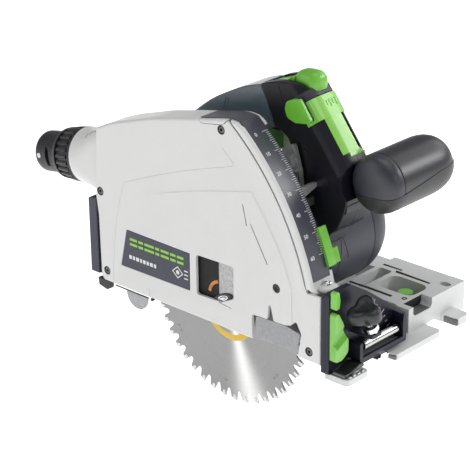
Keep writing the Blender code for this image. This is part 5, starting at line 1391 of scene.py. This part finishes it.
# ================================================================ motor
def make_motor():
    housing = lathe("motor_shell", [(46.6, 35.0), (47.6, 35.7), (48.0, 37.2), (48.0, 90.3), (44.6, 90.3), (44.6, 38.5), (12.0, 38.5), (12.0, 35.0)][::-1],
                    (MOTOR[0], 0, MOTOR[1]), (0, 1, 0), MOTOR_SKIN, steps=96, closed=True)
    cut(housing,
        *[prism("louvre", band(MOTOR, 40, 60, a, a + 5.4, 6), "XZ", 56, 82) for a in (-70, -60, -50, 200, 210, 220, 230)],
        # the slanted panel seams that run down from the grip
        wire("seam_a", [(MOTOR[0] + 48.0 * math.cos(math.radians(t)), y, MOTOR[1] + 48.0 * math.sin(math.radians(t))) for t, y in zip(range(60, -56, -4), [52 - 0.3 * k for k in range(29)])], 0.5),
        wire("seam_b", [(MOTOR[0] + 48.0 * math.cos(math.radians(t)), y, MOTOR[1] + 48.0 * math.sin(math.radians(t))) for t, y in zip(range(40, -12, -4), [44 + 1.1 * k for k in range(13)])], 0.45))
    finish_edges(housing, 0.3, 2, 42)
    stand(housing, "plunge_unit", "motor_housing")
    outer = [(48.0, 91.0), (48.0, 93.5), (47.7, 97.5), (46.9, 102), (45.3, 106.6), (42.8, 111), (39.2, 115.2), (34.4, 118.8), (28, 121.6), (20.5, 123.4), (11, 124.3), (0, 124.4)]
    inner = [(0, 121.6), (5.0, 121.6), (11.2, 120.0), (11.2, 108.6), (13.6, 108.6), (13.6, 119.4), (24, 118.6), (33, 115.4), (39.6, 109.6), (43.4, 102.4), (44.6, 96.0), (44.6, 91.0)]
    end = lathe("motor_cap", (outer + inner)[::-1], (MOTOR[0], 0, MOTOR[1]), (0, 1, 0), MOTOR_SKIN, steps=96, closed=True)
    cut(end,
        *[prism("vent", band(MOTOR, 17, 26, a, a + 9, 5), "XZ", 112, 130) for a in range(4, 360, 18)],
        wire("cap_ring", [(MOTOR[0] + 36.2 * math.cos(math.radians(t)), 117.6, MOTOR[1] + 36.2 * math.sin(math.radians(t))) for t in range(0, 360, 6)], 0.5, cyclic=True))
    finish_edges(end, 0.3, 2, 42)
    stand(end, "plunge_unit", "motor_end_cap")
    for k, a in enumerate((62, 182, 302)):
        x, z = MOTOR[0] + 43.0 * math.cos(math.radians(a)), MOTOR[1] + 43.0 * math.sin(math.radians(a))
        screw = lathe("cap_screw", [(0, 0), (2.6, 0), (2.6, 1.6), (1.9, 2.2), (0, 2.3)][::-1], (x, 108.6, z), (0, 1, 0), STEEL, steps=32)
        cut(screw, box("slot_a", (x - 0.3, 109.9, z - 1.6), (x + 0.3, 112, z + 1.6)), box("slot_b", (x - 1.6, 109.9, z - 0.3), (x + 1.6, 112, z + 0.3)))
        finish_edges(screw, 0.12, 2, 42)
        stand(screw, "plunge_unit", slot="motor_end_cap")
    # the shaded wedge of the gear housing's cover, below the pillar
    guard_wedge = prism("pillar_foot", rounded([(60, 108), (98, 122), (99.5, 134), (88, 118), (79, 92), (72, 84)], [1, 3, 3, 3, 3, 1], 4), "XZ", 29.0, 52.0, MOTOR_SKIN)
    round_rim(guard_wedge, 29.0, 2.5, 5)
    finish_edges(guard_wedge, 0.0, 2, 42)
    stand(guard_wedge, "plunge_unit", slot="handle_half_right")


make_motor()


# ================================================================ the CAD pieces that stay as they are
KEPT = {
    WHITE: ("guard_housing", "guard_cover", "dust_spout"),
    CAST: ("base_plate",),
    BLACK: ("dust_port_collar", "dust_port_sleeve", "rear_clamp_knob", "power_inlet", "cooling_fan", "blade_bolt", "speed_dial", "switch_body"),
    KNOB_BLACK: ("front_clamp_knob",),
    NAVY: ("front_bevel_segment", "rear_bevel_segment", "motor_housing", "motor_end_cap"),
    SPINE: ("rear_edge_strip",),
    SLATE: ("depth_scale_strip",),
    SHELL: ("handle_half_right", "handle_half_left"),
    FAIRING: ("handle_nose",),
    GRIP_SOFT: ("front_grip",),
    PAD_SOFT: ("front_grip_pad",),
    GREEN: ("undercut_lever", "bevel_range_tab", "rail_cam_front", "rail_cam_rear", "depth_stop_slider", "handle_strip", "plunge_release_button", "side_lever"),
    DARK_GREEN: ("trigger",),
    BLADE_STEEL: ("saw_blade",),
    TURNED: ("inner_flange", "outer_flange"),
    STEEL: ("plunge_axle", "plunge_return_spring", "guard_screw_rear_upper", "guard_screw_rear_lower", "guard_screw_top", "guard_screw_front", "spindle", "spindle_bearing",
            "motor_rear_bearing", "drive_gear", "idler_gear", "pinion_shaft", "rotor_core"),
    CHROME: ("clamp_bar", "front_clamp_screw"),
    ALU: ("gear_case", "gear_case_lid", "front_tilt_bracket", "rear_tilt_bracket"),
    COPPER: ("motor_stator",),
    LABEL: ("nameplate",),
    CLEAR: ("splinter_window",),
    BOARD: ("control_board",),
}
SOFT_EDGE = {"base_plate": 0.9, "front_bevel_segment": 0.7, "rear_bevel_segment": 0.7, "gear_case": 0.6, "front_tilt_bracket": 0.6, "rear_tilt_bracket": 0.6,
             "undercut_lever": 0.8, "rear_edge_strip": 0.7, "motor_housing": 0.6, "handle_strip": 0.4, "rail_cam_front": 0.5, "rail_cam_rear": 0.5, "guard_cover": 0.4,
             "speed_dial": 0.7, "gear_case_lid": 0.4, "trigger": 0.8, "depth_scale_strip": 0.2}
for material, names in KEPT.items():
    for name in names:
        piece = frame["nodes"].get(name)
        if piece is None or piece.hide_render:
            continue
        piece.data.materials.clear()
        piece.data.materials.append(material)
        finish_edges(piece, SOFT_EDGE.get(name, 0.25), 2, 38)

for leftover in list(HIDDEN.objects):
    bpy.data.objects.remove(leftover, do_unlink=True)
bpy.data.collections.remove(HIDDEN)
